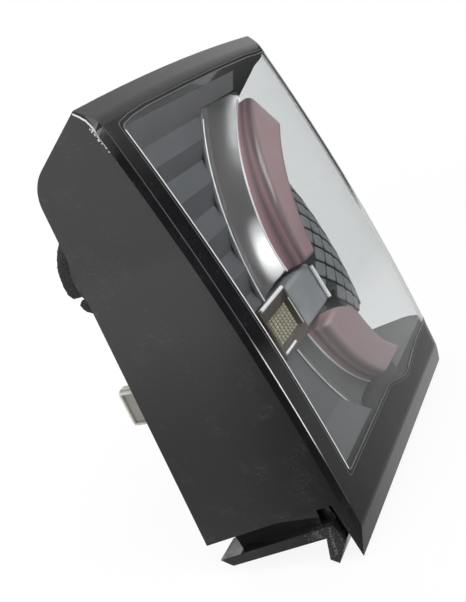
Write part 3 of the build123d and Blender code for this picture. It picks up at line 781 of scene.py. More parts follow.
class TAIL_OT_finishes(bpy.types.Operator):
    """Make the finishes and give each solid its own"""
    bl_idname = "tail_light.finishes"
    bl_label = "Finishes"

    def execute(self, context):
        c = context.scene.tail_light_colours
        for node, finish in (
                ("lens_border", make_lens_black(c)),
                ("lens_window", make_lens_clear(c)),
                ("housing", make_housing_black(c)),
                ("inner_bezel", plain_plastic("bezel_dark", c.bezel_dark, 0.42)),
                ("upper_arc_bezel", make_satin("bezel_satin", c.bezel_satin, 0.22, 0.15)),
                ("upper_light_guide", make_guide_red(c)),
                ("bridge_cover", plain_plastic("bridge_grey", c.bridge, 0.2, 700.0, 0.03)),
                ("bridge_trim", make_satin("bright_trim", (0.93, 0.94, 0.95), 0.2, 0.1)),
                ("reverse_lamp_frame", plain_plastic("lamp_brown", (0.085, 0.068, 0.058), 0.3, 700.0, 0.1)),
                ("scale_panel", make_scales(c)),
                ("reverse_lamp_lens", make_optic(c)),
                ("reverse_reflector", make_metal("reflector", (0.82, 0.81, 0.79), 0.12, 0.02)),
                ("bulb_holder", plain_plastic("holder_grey", (0.07, 0.072, 0.075), 0.5)),
                ("reverse_bulb", make_bulb_glass()),
                ("carrier", plain_plastic("carrier_grey", (0.10, 0.105, 0.11), 0.5)),
                ("carrier_screws", make_metal("screw_steel", (0.42, 0.42, 0.43), 0.34)),
                ("upper_led_board", make_board("board_white", (0.72, 0.72, 0.70), (0.55, 0.50, 0.42))),
                ("upper_leds", plain_plastic("diode", (0.72, 0.62, 0.20), 0.3)),
                ("connector_socket", plain_plastic("socket_black", (0.022, 0.022, 0.023), 0.45)),
                ("connector_pins", make_metal("pin_brass", (0.68, 0.52, 0.24), 0.28)),
                ("foam_seal", make_foam(c)),
                ("locating_clip", make_nylon(c)),
                ("mounting_studs", make_metal("stud_steel", (0.50, 0.49, 0.46), 0.32)),
                ("driver_cover", make_metal("cover_aluminium", c.aluminium, 0.42, 0.25, 700.0)),
                ("driver_board", make_board("board_green", (0.02, 0.12, 0.05), (0.09, 0.22, 0.08))),
                ("breather_cap", plain_plastic("breather_black", (0.03, 0.03, 0.031), 0.6))):
            paint(node, finish.material)
        for node, name in (("lower_arc_bezel", "bezel_satin"), ("lower_light_guide", "guide_red"),
                           ("bezel_screws", "screw_steel"), ("lower_led_board", "board_white"),
                           ("lower_leds", "diode"), ("cover_screws", "screw_steel")):
            paint(node, found_material(name))
        make_edge_highlight()
        plain_plastic("chip_pale", (0.62, 0.62, 0.61), 0.6, 900.0, 0.2)
        plain_plastic("residue_grey", (0.12, 0.116, 0.11), 0.8, 900.0, 0.3)
        # Painted shade: the dark plate of the prism optic stands for the shade between the prisms
        plain_plastic("optic_gap", (0.055, 0.05, 0.036), 0.25)
        # Painted shade: this dark gap finish on the scaled panel's backing stands for the shade between tiles
        plain_plastic("scale_gap", (0.035, 0.037, 0.04), 0.45)
        return {"FINISHED"}


class TAIL_OT_scaled_panel(bpy.types.Operator):
    """Barrel-shaped panel covered in small lapped tiles"""
    bl_idname = "tail_light.scaled_panel"
    bl_label = "Scaled Panel"

    def execute(self, context):
        sizes = context.scene.tail_light_sizes
        radius, bulge, half, wall = 91.0, 500.0, 72.0, 3.0
        inboard, outboard, tongue, margin = 193.0, 284.0, 171.5, 6.0
        tongue_bottom, tongue_top, tongue_tiles, spans = -34.0, 7.0, -27, 16
        rows, row_step, first_turn, column_turn = 6, 10.5, -5.0, 13.0

        def drum_r(z):
            """Radius of the barrel at a height."""
            return radius - bulge + math.sqrt(bulge * bulge - z * z)

        def drum_point(a, r, z):
            """A place on the barrel by angle, radius and height."""
            return lens_point(DRUM[0] + r * math.sin(a), DRUM[1] - r * math.cos(a), ARC_CENTRE[1] + z)

        def sheet(work, left, right, low, high, steps):
            """A stretch of the barrel's wall between two sides and two heights."""
            rings = []
            for step in range(steps):
                z = low + (high - low) * step / (steps - 1)
                r = drum_r(z)
                places = [left + (right - left) * k / spans for k in range(spans + 1)]
                angles = [math.asin((x - DRUM[0]) / r) for x in places]
                front = [drum_point(a, r, z) for a in angles]
                back = [drum_point(a, r - wall, z) for a in reversed(angles)]
                rings.append(front + back)
            outline_tube(work, rings)

        def shell(work):
            """The panel's wall with its tongue."""
            sheet(work, inboard, outboard, -half, half, 25)
            sheet(work, tongue, inboard + 0.5, tongue_bottom, tongue_top, 9)

        def tile(work):
            """One tile: a square on its point with clipped corners, marked dark round its rim for painted
            shade.
            """
            reach = sizes.tile_size * math.sqrt(0.5)
            corner = [(0.16, 0.86), (0.0, 0.94), (-0.16, 0.86)]
            outline = []
            for quarter in range(4):
                outline += corner
                corner = [(-v, u) for u, v in corner]
            levels = [(1.04, 0.0013, 1.0), (1.04, -0.0005, 1.0), (0.97, -0.0010, 1.0), (0.88, -0.0012, 0.0),
                      (0.5, -0.0013, 0.0)]
            rings = [[(reach * s * u, y, reach * s * v) for u, v in outline] for s, y, dark in levels]
            rim = work.verts.layers.float.new("rim")
            for row, (s, y, dark) in zip(outline_tube(work, rings), levels):
                for vert in row:
                    vert[rim] = dark

        places, turns = [], []
        lean = Matrix.Rotation(-RAKE, 3, "X")
        for row in range(-rows, rows + 1):
            z = row * row_step
            r = drum_r(z)
            start = tongue if tongue_tiles < z < 0 else inboard
            for k in range(-2, 6):
                a = math.radians(first_turn + column_turn * k + (column_turn / 2 if row % 2 else 0))
                if start + margin < DRUM[0] + r * math.sin(a) < outboard - margin:
                    lift = z / bulge + sizes.tile_lift
                    turn = lean @ Matrix.Rotation(a, 3, "Z") @ Matrix.Rotation(-lift, 3, "X")
                    places.append(drum_point(a, r, z))
                    turns.append(turn.to_euler())
        backing = mesh_from("scaled_backing", shell)
        smooth(backing, 40.0)
        # Painted shade: the backing wears the dark gap finish, for the shade seen between the tiles
        finish_piece("scaled_panel", backing, "scale_gap", ("scale_panel",))
        tiles = scatter_mesh("scaled_tiles", mesh_from("tile", tile), places, turns, "scale_grey")
        smooth(tiles, 40.0)
        finish_piece("scaled_tiles", tiles)
        return {"FINISHED"}


def arc_through(p0, p1, p2, count):
    """Points along the circle through three places."""
    ax, ay, bx, by, cx, cy = *p0, *p1, *p2
    d = 2 * (ax * (by - cy) + bx * (cy - ay) + cx * (ay - by))
    ux = ((ax**2 + ay**2) * (by - cy) + (bx**2 + by**2) * (cy - ay) + (cx**2 + cy**2) * (ay - by)) / d
    uy = ((ax**2 + ay**2) * (cx - bx) + (bx**2 + by**2) * (ax - cx) + (cx**2 + cy**2) * (bx - ax)) / d
    r = math.hypot(ax - ux, ay - uy)
    start = math.atan2(ay - uy, ax - ux)
    sweep = math.atan2(cy - uy, cx - ux) - start
    middle = math.atan2(by - uy, bx - ux) - start
    sweep = (sweep + math.pi) % (2 * math.pi) - math.pi
    middle = (middle + math.pi) % (2 * math.pi) - math.pi
    if sweep * middle < 0:
        sweep -= math.copysign(2 * math.pi, sweep)
    angles = [start + sweep * k / (count - 1) for k in range(count)]
    return [(ux + r * math.cos(a), uy + r * math.sin(a)) for a in angles]


def smooth_line(points, count):
    """Points along a smooth line through given places, evenly spaced by length."""
    steps = 24
    dense = []
    ends = [tuple(2 * a - b for a, b in zip(points[0], points[1])), *points,
            tuple(2 * a - b for a, b in zip(points[-1], points[-2]))]
    for near in zip(ends, ends[1:], ends[2:], ends[3:]):
        for k in range(steps):
            t = k / steps
            dense.append(tuple(
                0.5 * (2 * b + (c - a) * t + (2 * a - 5 * b + 4 * c - d) * t * t
                       + (3 * b - a - 3 * c + d) * t**3)
                for a, b, c, d in zip(*near)))
    dense.append(points[-1])
    run = [0.0]
    for a, b in zip(dense, dense[1:]):
        run.append(run[-1] + math.dist(a, b))
    found, i = [], 0
    for k in range(count):
        goal = run[-1] * k / (count - 1)
        while i < len(run) - 2 and run[i + 1] < goal:
            i += 1
        t = (goal - run[i]) / max(1e-9, run[i + 1] - run[i])
        found.append(tuple(a + (b - a) * t for a, b in zip(dense[i], dense[i + 1])))
    return found


def end_weighted(line, count):
    """Places along a fine line, with more of them near both ends."""
    found = []
    for k in range(count):
        at = (0.5 - 0.5 * math.cos(math.pi * k / (count - 1))) * (len(line) - 1)
        i = min(int(at), len(line) - 2)
        found.append(tuple(a + (b - a) * (at - i) for a, b in zip(line[i], line[i + 1])))
    return found


def bend(a, b, c, t):
    """A place along the curve that starts at a, heads for b and ends at c."""
    return tuple((1 - t)**2 * p + 2 * t * (1 - t) * q + t * t * s for p, q, s in zip(a, b, c))


def guide_section(wide, outer_y, inner_y, rounding):
    """A guide's section as (across, depth) pairs, with the share of wall (painted lighter) and of dark edge
    (painted shade) at each.
    """
    big = min(rounding * 1.6, 0.3 * wide)
    little = min(rounding, 0.2 * wide)
    cant = (inner_y - outer_y) / wide
    section, marks = [], []
    for t, dark in ((0.0, 0.0), (0.3, 0.25), (0.65, 0.95)):
        section.append((0.0, BED + (outer_y + big - BED) * t))
        marks.append((1.0, dark))
    for t in (0.0, 0.15, 0.3, 0.45, 0.6, 0.75, 0.9):
        section.append(bend((0.0, outer_y + big), (0.0, outer_y), (big, outer_y + cant * big), t))
        marks.append((max(0.0, 1.0 - t * 2.2), math.sin(math.pi * min(1.0, t + 0.1))))
    for t in (0.06, 0.2, 0.4, 0.6, 0.8, 0.94):
        u = big + (wide - little - big) * t
        section.append((u, outer_y + cant * u))
        marks.append((0.0, 0.0))
    start, end = (wide - little, inner_y - cant * little), (wide, inner_y + little)
    for t in (0.0, 0.2, 0.4, 0.6, 0.8, 1.0):
        section.append(bend(start, (wide, inner_y), end, t))
        marks.append((0.35 * t, 0.25 * math.sin(math.pi * t)))
    for t in (0.3, 0.7, 1.0):
        section.append((wide, inner_y + little + (BED - inner_y - little) * t))
        marks.append((0.35, 0.0))
    return section, marks


def guide_mesh(name, outer, inner, near, far, rounding):
    """A light guide between two front-view lines: canted face, rounded edges and ends."""
    face_from, face_span, end_pinch = 90.0, 110.0, 0.20

    def depth(x, z):
        """Depth of the canted face."""
        return near + (arc_radius(x, z) - face_from) / face_span * (far - near)

    middles = [((ox + ix) / 2, (oz + iz) / 2) for (ox, oz), (ix, iz) in zip(outer, inner)]
    run = [0.0]
    for a, b in zip(middles, middles[1:]):
        run.append(run[-1] + math.dist(a, b))
    rings, marks = [], []
    for (ox, oz), (ix, iz), along in zip(outer, inner, run):
        wide = math.hypot(ix - ox, iz - oz)
        section, mark = guide_section(wide, depth(ox, oz), depth(ix, iz), rounding)
        end = min(along, run[-1] - along)
        pull = 1.0
        if end < rounding:
            pull = 1.0 - end_pinch + end_pinch * math.sqrt(max(0.0, 1 - (1 - end / rounding)**2))
        ring = []
        for u, y in section:
            u = wide / 2 + (u - wide / 2) * pull
            y = BED + (y - BED) * pull
            ring.append(lens_point(ox + (ix - ox) * u / wide, y, oz + (iz - oz) * u / wide))
        rings.append(ring)
        marks.append(mark)

    def skin(work):
        """The guide's skin, with the shares of wall and dark edge stored on it, for the painted light on the
        wall and the painted shade on the edge.
        """
        wall = work.verts.layers.float.new("wall")
        edge = work.verts.layers.float.new("edge")
        for row, mark in zip(outline_tube(work, rings), marks):
            for vert, (on_wall, on_edge) in zip(row, mark):
                vert[wall] = on_wall
                vert[edge] = on_edge

    mesh = mesh_from(name, skin)
    smooth(mesh, 50.0)
    return mesh


class TAIL_OT_light_guides(bpy.types.Operator):
    """The two red light guides, with rounded edges, and the pale line along their feet"""
    bl_idname = "tail_light.light_guides"
    bl_label = "Light Guides"

    def execute(self, context):
        rounding = context.scene.tail_light_sizes.guide_round * 1000
        fine, count = 200, 72
        push, lift, foot_radius, lower_half = 1.2, 0.5, 0.0009, -200
        upper = [end_weighted(arc_through(*line, fine), count) for line in (UPPER_OUTER, UPPER_INNER)]
        lower = [end_weighted(line, count)
                 for line in (arc_through(*LOWER_OUTER, fine), smooth_line(LOWER_INNER, fine))]
        for name, lines, near, far in (("upper", upper, -11.8, 29.4), ("lower", lower, -15.8, 22.0)):
            mesh = guide_mesh(name + "_guide_mesh", *lines, near, far, rounding)
            finish_piece(name + "_guide", mesh, "guide_red", (name + "_light_guide",))
        for name, line in (("upper_foot_line", upper[0]), ("lower_foot_line", lower[0])):
            path = []
            for place in line:
                r = arc_radius(*place)
                x, z = (c + (v - c) * (r + push) / r for c, v in zip(ARC_CENTRE, place))
                path.append(lens_point(x, (hollow_depth(x, z) if z > lower_half else BED) - lift, z))
            bead_piece(name, path, foot_radius, 10, "bright_trim")
        return {"FINISHED"}


class TAIL_OT_bezel_rims(bpy.types.Operator):
    """Smooth hollow of the upper curved bezel, painted highlights as fine pale lines along both rims, and the
    strip by the bridge
    """
    bl_idname = "tail_light.bezel_rims"
    bl_label = "Bezel Rims"

    def execute(self, context):
        steps, wall, lip, deepest = 72, 2.4, 0.5, BED + 3.0
        bottom, side, top = 12.0, 44.0, 167.0
        rim_steps, rim_y, strip_x, strip_y, strip_top = 59, BED - RIM_RISE - 0.5, 166.5, 14.6, -190.5
        radii = [136 + 3.2 * i for i in range(26)] + [216.4, 217.4, 218.6, 219.0]
        rings = []
        for k in range(steps + 1):
            front, back = [], []
            for r in radii:
                low = math.asin(bottom / r)
                high = min(math.acos(side / r), math.asin(min(1.0, top / r)))
                a = low + (high - low) * k / steps
                x, z = ARC_CENTRE[0] - r * math.cos(a), ARC_CENTRE[1] + r * math.sin(a)
                y = hollow_depth(x, z) + (lip if r == radii[-1] else 0.0)
                front.append(lens_point(x, y, z))
                back.append(lens_point(x, min(y + wall, deepest), z))
            rings.append(front + back[::-1])
        mesh = tube_mesh("upper_hollow_mesh", rings)
        smooth(mesh)
        finish_piece("upper_hollow", mesh, "bezel_satin", ("upper_arc_bezel",))
        # Painted highlight: a pale bead along each rim stands for the light caught by its edge
        for name, low, high in (("upper_rim_line", -179.0, -33.0), ("lower_rim_line", -312.0, -228.0)):
            path = []
            for k in range(rim_steps + 1):
                z = low + (high - low) * k / rim_steps
                x = ARC_CENTRE[0] - math.sqrt(RIM_RADIUS**2 - (z - ARC_CENTRE[1])**2)
                path.append(lens_point(x, rim_y, z))
            bead_piece(name, path, 0.0005, 8, "bright_trim")
        path = [lens_point(strip_x, strip_y, strip_top - 3.0 * k) for k in range(12)]
        bead_piece("bridge_strip", path, 0.0019, 12, "bright_trim")
        return {"FINISHED"}


class TAIL_OT_prism_optic(bpy.types.Operator):
    """Small clear lamp: rows of prisms on a dark plate that paints the shade between them, and the bright
    bars of its frame
    """
    bl_idname = "tail_light.prism_optic"
    bl_label = "Prism Optic"

    def execute(self, context):
        sizes = context.scene.tail_light_sizes
        across, up, front, back = 46.0, 24.0, 20.6, 23.0
        columns, rows = sizes.prism_columns, sizes.prism_rows
        w, h = across / columns, up / rows
        corners = ((-1, -1), (1, -1), (1, 1), (-1, 1))

        def prism(work):
            """One prism: a block that narrows to a slanted ridge."""
            fill_across, fill_up, ridge_across, ridge_up = 0.52, 0.88, 0.25, 0.7
            sunk, ridge_low, ridge_high = 0.0006, -0.0019, -0.0016
            a, b = w / 2 * fill_across / 1000, h / 2 * fill_up / 1000
            base = [(a * u, sunk, b * v) for u, v in corners]
            foot = [(a * u, 0.0, b * v) for u, v in corners]
            ridge = [(a * u * ridge_across, ridge_low if v < 0 else ridge_high, b * v * ridge_up)
                     for u, v in corners]
            outline_tube(work, [base, foot, ridge])

        plate = tube_mesh("optic_plate", [[lens_point(OPTIC[0] + u * across / 2, y, OPTIC[1] + v * up / 2)
                                           for u, v in corners] for y in (front, back)])
        # Painted shade: the dark plate shows between the spaced prisms
        plate.materials.append(found_material("optic_gap"))
        places = [lens_point(OPTIC[0] - across / 2 + w * (i + 0.5), front, OPTIC[1] - up / 2 + h * (j + 0.5))
                  for i in range(columns) for j in range(rows)]
        turns = [(-RAKE, 0.0, 0.0)] * len(places)
        prisms = scatter_mesh("prisms", mesh_from("prism", prism), places, turns, "optic_clear")
        mesh = join_meshes("prism_optic_mesh", [plate, prisms])
        finish_piece("prism_optic", mesh, replaced=("reverse_lamp_lens",))
        for name, start, end, radius in (
                ("lamp_bar_top", (59.5, 14.3, -181.8), (104.5, 14.3, -181.8), 0.0018),
                ("lamp_bar_bottom", (58.0, 14.2, -221.3), (79.0, 14.2, -221.3), 0.0013),
                ("lamp_bar_side", (105.0, 14.2, -192.0), (105.0, 14.2, -217.0), 0.0005)):
            path = [lens_point(*start), lens_point(*end)]
            bead_piece(name, path, radius, 10, "bright_trim")
        return {"FINISHED"}


def lens_face():
    """A function that gives the place on the lens's outer face at a front-view place."""
    work = bmesh.new()
    for node in ("lens_border", "lens_window", "housing"):
        work.from_mesh(NODES[node].data)
    tree = BVHTree.FromBMesh(work)
    work.free()

    def place(x, z):
        """Where a straight look from the front meets the face."""
        hit = tree.ray_cast(lens_point(x, -80, z), lens_turn(0, 1, 0))[0]
        if hit is None:
            raise RuntimeError("the window step left the lens face")
        return hit

    return place


class TAIL_OT_window_bead(bpy.types.Operator):
    """Moulded step round the clear window, following the lens face"""
    bl_idname = "tail_light.window_bead"
    bl_label = "Window Bead"

    def execute(self, context):
        radius = context.scene.tail_light_sizes.bead_width
        spacing, step_width, proud = 3.0, 2.9, 0.0002
        (side_x, side_top), side_lean, side_steps = WINDOW[9], 3.5, 100
        inner_side, top_side, bottom_side = 60, -60, -300
        on_face = lens_face()
        dense = []
        for (x0, z0), (x1, z1) in zip(WINDOW, WINDOW[1:]):
            count = max(1, round(math.dist((x0, z0), (x1, z1)) / spacing))
            dense += [(x0 + (x1 - x0) * k / count, z0 + (z1 - z0) * k / count) for k in range(count)]
        dense.append(WINDOW[-1])
        for name, out, size in (("window_step_inner", 0.0, radius),
                                ("window_step_outer", step_width, radius * 0.6)):
            path = []
            for x, z in dense:
                x -= out if x < inner_side else 0.0
                z += out if z > top_side else (-out if z < bottom_side else 0.0)
                path.append(on_face(x, z))
            bead_piece(name, path, size, 8, "bezel_satin")
        path = [on_face(side_x + side_lean * k / side_steps, side_top - spacing * k) + lens_turn(0, -proud, 0)
                for k in range(side_steps + 1)]
        bead_piece("window_line", path, radius, 8, "bright_trim")
        return {"FINISHED"}


class TAIL_OT_inner_edge(bpy.types.Operator):
    """Canted facet and rounded corner of the lens's inboard edge, the corner with a painted highlight, and
    the webs behind groove and lip
    """
    bl_idname = "tail_light.inner_edge"
    bl_label = "Inner Edge"

    def execute(self, context):
        steps, step, proud, sunk = 84, 4.0, 1.05, -0.6
        front_inset, back_inset, skin = 0.1, 0.15, 0.02
        corner_x, corner_sunk, corner_radius = 0.85, 0.05, 0.00042
        rings = []
        for k in range(steps):
            z = -0.5 - step * k
            front, back = lens_front(z) + front_inset, seam_depth(z) - back_inset
            lift = proud * min(1.0, (k + 0.2) / 2, (steps - 0.8 - k) / 2)
            rings.append([panel_point(front, z, skin), panel_point(back, z, lift),
                          panel_point(back, z, sunk), panel_point(front, z, sunk)])
        finish_piece("inner_facet", tube_mesh("inner_facet_mesh", rings), "lens_black")
        groove = ((15.5, -324.6), (64.0, -324.6), (64.0, -341.8), (26.0, -341.8), (21.0, -340.6),
                  (17.2, -336.5))
        web = tube_mesh("groove_web_mesh", [[lens_point(x, y, z) for y, z in groove] for x in (9.6, 11.8)])
        finish_piece("groove_web", web, "housing_black")
        lip = ((0.1555, 0.2184), (0.1563, 0.2176), (0.1801, 0.2176), (0.1809, 0.2184), (0.1809, 0.2291),
               (0.1801, 0.2299), (0.1563, 0.2299), (0.1555, 0.2291))
        web = tube_mesh("lip_web_mesh", [[(x, y, z) for x, z in lip] for y in (-0.0204, -0.0199)])
        finish_piece("lip_web", web, "housing_black")
        heights = [-1 - 3 * k for k in range(110)]
        # The rounded corner's bead carries the painted highlight of its finish
        path = [lens_point(corner_x, lens_front(z) + corner_sunk, z) for z in heights]
        bead_piece("edge_line", path, corner_radius, 8, "edge_line")
        return {"FINISHED"}


def flake(size, chance):
    """A small ragged flake of about a given size."""
    ring = [(math.cos(a) * size * chance.uniform(0.5, 1.2), math.sin(a) * size * chance.uniform(0.5, 1.2))
            for a in (0.2, 1.1, 2.3, 3.3, 4.4, 5.5)]
    return tube_mesh("flake", [[(0.0003 * side - 0.0001, u * share, v * share) for u, v in ring]
                               for side, share in ((1.0, 1.0), (0.0, 0.9), (-1.0, 0.4))])


class TAIL_OT_wear_and_highlight_marks(bpy.types.Operator):
    """Pale line along the top of the seam, worn and with a painted highlight of its edge, chips there, and
    crumbs of residue on the lower flange
    """
    bl_idname = "tail_light.wear_marks"
    bl_label = "Wear and Highlight Marks"

    def execute(self, context):
        chance = random.Random(11)
        seam_steps, lift, leg_top = 39, 0.1, -342.5
        # Painted highlight in part: the pale seam line stands for the seam edge's highlight as well as its
        # wear
        for name, top, low, radius in (("worn_seam_top", 13.4, -18.0, 0.0007),
                                       ("worn_seam_mid", -18.0, -68.0, 0.0004),
                                       ("worn_seam_low", -68.0, -110.0, 0.00025)):
            path = []
            for k in range(seam_steps + 1):
                z = top + (low - top) * k / seam_steps
                path.append(panel_point(seam_depth(z) + chance.uniform(-0.15, 0.15), z, 0.05))
            bead_piece(name, path, radius, 6, "chip_pale", rounded=False)
        chips = []
        for k in range(34):
            z = chance.uniform(-21.0, -1.0)
            chips.append(panel_point(seam_depth(z) + chance.uniform(-0.6, 3.6) * chance.random(), z, lift))
        crumbs = []
        for k in range(70):
            s = chance.random()
            crumbs.append(panel_point(24.5 + 7.0 * s + chance.uniform(-1.2, 1.2), leg_top - 24.5 * s, lift))
        for k in range(40):
            s = chance.random() * chance.random()
            crumbs.append(panel_point(34.0 + 14.0 * s, -342.4 - chance.uniform(0.0, 6.0), lift))
        for name, size, places, finish, slot in (
                ("seam_chips", 0.0008, chips, "chip_pale", "lens_black"),
                ("residue_crumbs", 0.0005, crumbs, "residue_grey", "housing_black")):
            turns = [(chance.uniform(-3.1, 3.1), chance.uniform(-0.3, 0.3), chance.uniform(-0.3, 0.3))
                     for place in places]
            finish_piece(name, scatter_mesh(name, flake(size, chance), places, turns, finish))
        return {"FINISHED"}


class TAIL_OT_foam_ring(bpy.types.Operator):
    """Soft foam seal round the plug boss, with its cut ends"""
    bl_idname = "tail_light.foam_ring"
    bl_label = "Foam Ring"

    def execute(self, context):
        inner, outer, front, back = 0.0297, 0.0374, -0.0059, 0.0079
        start, stop, steps = math.radians(-148.5), math.radians(197.5), 149
        cut_pinch, cut_steps, slack, sag = 0.12, 4.0, 0.0004, 0.0006
        broad, broad_scale, fine, fine_scale = 0.0005, 420, 0.0004, 1100
        outline = ((0.0, 0.12), (0.0, 0.5), (0.0, 0.88), (0.14, 1.0), (0.38, 1.0), (0.62, 1.0), (0.86, 1.0),
                   (1.0, 0.88), (1.0, 0.5), (1.0, 0.12), (0.86, 0.0), (0.5, 0.0), (0.14, 0.0))

        def ring_point(r, y, a):
            """A place on the ring by radius, depth and angle."""
            return Vector((PLUG[0] + r * math.cos(a), y, PLUG[1] + r * math.sin(a)))

        rings = []
        for k in range(steps + 1):
            a = start + (stop - start) * k / steps
            pinch = 1.0 - cut_pinch * max(0.0, 1 - min(k, steps - k) / cut_steps)
            ring = []
            for u, v in outline:
                u = 0.5 + (u - 0.5) * pinch
                v = v * pinch
                r = inner + (outer - inner) * u
                y = front + (back - front) * v
                p = ring_point(r, y, a)
                wobble = broad * noise.noise(p * broad_scale) + fine * noise.noise(p * fine_scale)
                r -= slack * u - wobble * (1.0 if 0.05 < u < 0.95 else 0.8)
                r = min(outer, max(inner, r))
                y = min(back, y + (wobble - sag) * (1.0 if v > 0.9 else 0.0))
                ring.append(ring_point(r, y, a))
            rings.append(ring)
        mesh = tube_mesh("foam_ring_mesh", rings)
        smooth(mesh, 60.0)
        piece = finish_piece("foam_ring", mesh, "foam_black", ("foam_seal",))
        return {"FINISHED"}


class TAIL_OT_studs(bpy.types.Operator):
    """Three threaded mounting studs on the back"""
    bl_idname = "tail_light.studs"
    bl_label = "Studs"

    def execute(self, context):
        sizes = context.scene.tail_light_sizes
        steel = found_material("stud_steel")
        radius, ridge, length, start = 0.003, 0.00042, 0.0215, 0.0008
        core = mesh_from("stud_core", lambda work: turned(work, (
            (0.0, -0.0209), (0.0036, -0.0209), (0.0036, -0.0003), (0.0033, 0.0), (0.0026, 0.0004),
            (0.0026, 0.0226), (0.0021, 0.0238), (0.0, 0.0239))))
        core.materials.append(steel)
        thread = run_tree("stud_thread", point_mesh("thread_start", [(0, 0, 0)]), {
            "Pitch": sizes.thread_pitch, "Length": length, "Radius": radius - ridge, "Ridge": ridge,
            "Material": steel})
        thread.transform(Matrix.Translation((0.0, start, 0.0)))
        places = [(x, 0.0, z) for x, z in STUDS]
        stud = join_meshes("stud", [core, thread])
        mesh = scatter_mesh("studs", stud, places, [(0, 0, 0)] * len(places), "stud_steel")
        smooth(mesh, 30.0)
        finish_piece("threaded_studs", mesh, replaced=("mounting_studs",))
        return {"FINISHED"}


class TAIL_OT_cover_screws(bpy.types.Operator):
    """Four cross-recessed screws that hold the driver cover"""
    bl_idname = "tail_light.cover_screws"
    bl_label = "Cover Screws"

    def execute(self, context):
        sides, head, rim_y = 32, 0.0034, -0.0115
        flat, flat_y, deep_y = 0.0024, -0.0097, -0.0109
        slot, arm = 0.00035, 0.0017

        def band(work, lower, upper):
            """A closed band of faces between two loops; gives both loops of vertices."""
            low, high = [work.verts.new(p) for p in lower], [work.verts.new(p) for p in upper]
            for k in range(len(low)):
                work.faces.new((low[k - 1], low[k], high[k], high[k - 1]))
            return low, high

        def screw(work):
            """One screw: shank, head and cross recess."""
            turned(work, ((0.0, -0.0205), (0.0012, -0.0203), (0.00148, -0.0195), (0.00148, -0.0121),
                          (0.0033, -0.0120), (head, rim_y)), sides)
            work.faces.ensure_lookup_table()
            work.faces.remove(work.faces[-1])
            corner = [(slot, arm), (slot, slot), (arm, slot)]
            cross = []
            for quarter in range(4):
                cross += corner
                corner = [(v, -u) for u, v in corner]
            crown = band(work, circle(head, rim_y, sides), circle(flat, flat_y, sides))[1]
            top, deep = band(work, [(x, flat_y, z) for x, z in cross],
                             [(x * 0.7, deep_y, z * 0.7) for x, z in cross])
            work.faces.new(deep)
            edges = [work.edges.get((loop[k - 1], loop[k]))
                     for loop in (crown, top) for k in range(len(loop))]
            bmesh.ops.triangle_fill(work, use_beauty=True, edges=edges)

        turns = [(0.0, angle, 0.0) for angle in (0.3, 1.1, -0.4, 0.7)]
        places = [(x, 0.0, z) for x, z in COVER_SCREWS]
        mesh = scatter_mesh("cover_screws", mesh_from("screw", screw), places, turns, "screw_steel")
        smooth(mesh)
        finish_piece("cross_screws", mesh, replaced=("cover_screws",))
        return {"FINISHED"}


# Stage

def seen_rays(tree, path):
    """1 for the rays that show the white surroundings: seen straight, mirrored or through glass."""
    seen = math_node(tree, "MAXIMUM", path["Is Camera Ray"], path["Is Transmission Ray"])
    return math_node(tree, "MAXIMUM", seen, path["Is Glossy Ray"])


def mirrored_rays(tree, path):
    """1 for rays that a shiny face has thrown back and no matt face has."""
    shiny = math_node(tree, "GREATER_THAN", path["Glossy Depth"], 0.5)
    return math_node(tree, "MULTIPLY", shiny, math_node(tree, "LESS_THAN", path["Diffuse Depth"], 0.5))


def dimmed(tree, mask, amount):
    """1 less an amount where a mask is high."""
    return math_node(tree, "SUBTRACT", 1.0, math_node(tree, "MULTIPLY", mask, amount))


def floor_glow(tree, coords, path):
    """Share and strength of the white the floor shows: even to the eye, uneven to mirrored rays."""
    along = axes(tree, coords)
    place = math_node(tree, "ADD", along["Y"], math_node(tree, "MULTIPLY", along["X"], FLOOR_SLANT))
    near = step_node(tree, along["X"], 0.45, 0.95, 0.65, 0.08)
    least = step_node(tree, along["X"], -0.3, 0.1, 0.03, near)
    lit = step_node(tree, place, -0.27, -0.07, least, 1.0)
    far = step_node(tree, along["X"], -0.95, -0.30, 1.0, 0.64)
    clean = step_node(tree, vector_node(tree, "LENGTH", coords), 0.35, 1.3, 0.90, 1.0)
    mirrored = mirrored_rays(tree, path)
    share = math_node(tree, "MAXIMUM", math_node(tree, "MULTIPLY", seen_rays(tree, path), clean), mirrored)
    return share, dimmed(tree, mirrored, dimmed(tree, lit, far))


def studio_light(tree, path):
    """White surroundings with the unlit sides of the studio, as mirrored rays see them."""
    rays = tree.nodes.new("ShaderNodeTexCoord").outputs["Generated"]
    ahead = step_node(tree, vector_node(tree, "DOT_PRODUCT", rays, DARK_SIDE), 0.62, 0.88)
    below = step_node(tree, axes(tree, rays)["Z"], 0.12, 0.38, 1.0, 0.0)
    left = step_node(tree, vector_node(tree, "DOT_PRODUCT", rays, DARK_LEFT), 0.88, 0.95)
    dark = math_node(tree, "MAXIMUM", math_node(tree, "MULTIPLY", ahead, below), left)
    dim = math_node(tree, "ADD", 0.2, math_node(tree, "MULTIPLY", dark, 0.75))
    return dimmed(tree, mirrored_rays(tree, path), dim)


def add_lamp(name, kind, at, ahead, power, **settings):
    """A lamp that shines from a place along a direction."""
    lamp = bpy.data.lights.new(name, kind)
    lamp.energy = power
    for label, value in settings.items():
        setattr(lamp, label, value)
    holder = bpy.data.objects.new(name, lamp)
    holder.location = at
    holder.rotation_euler = ahead.to_track_quat("-Z", "Y").to_euler()
    bpy.context.scene.collection.objects.link(holder)
    return holder


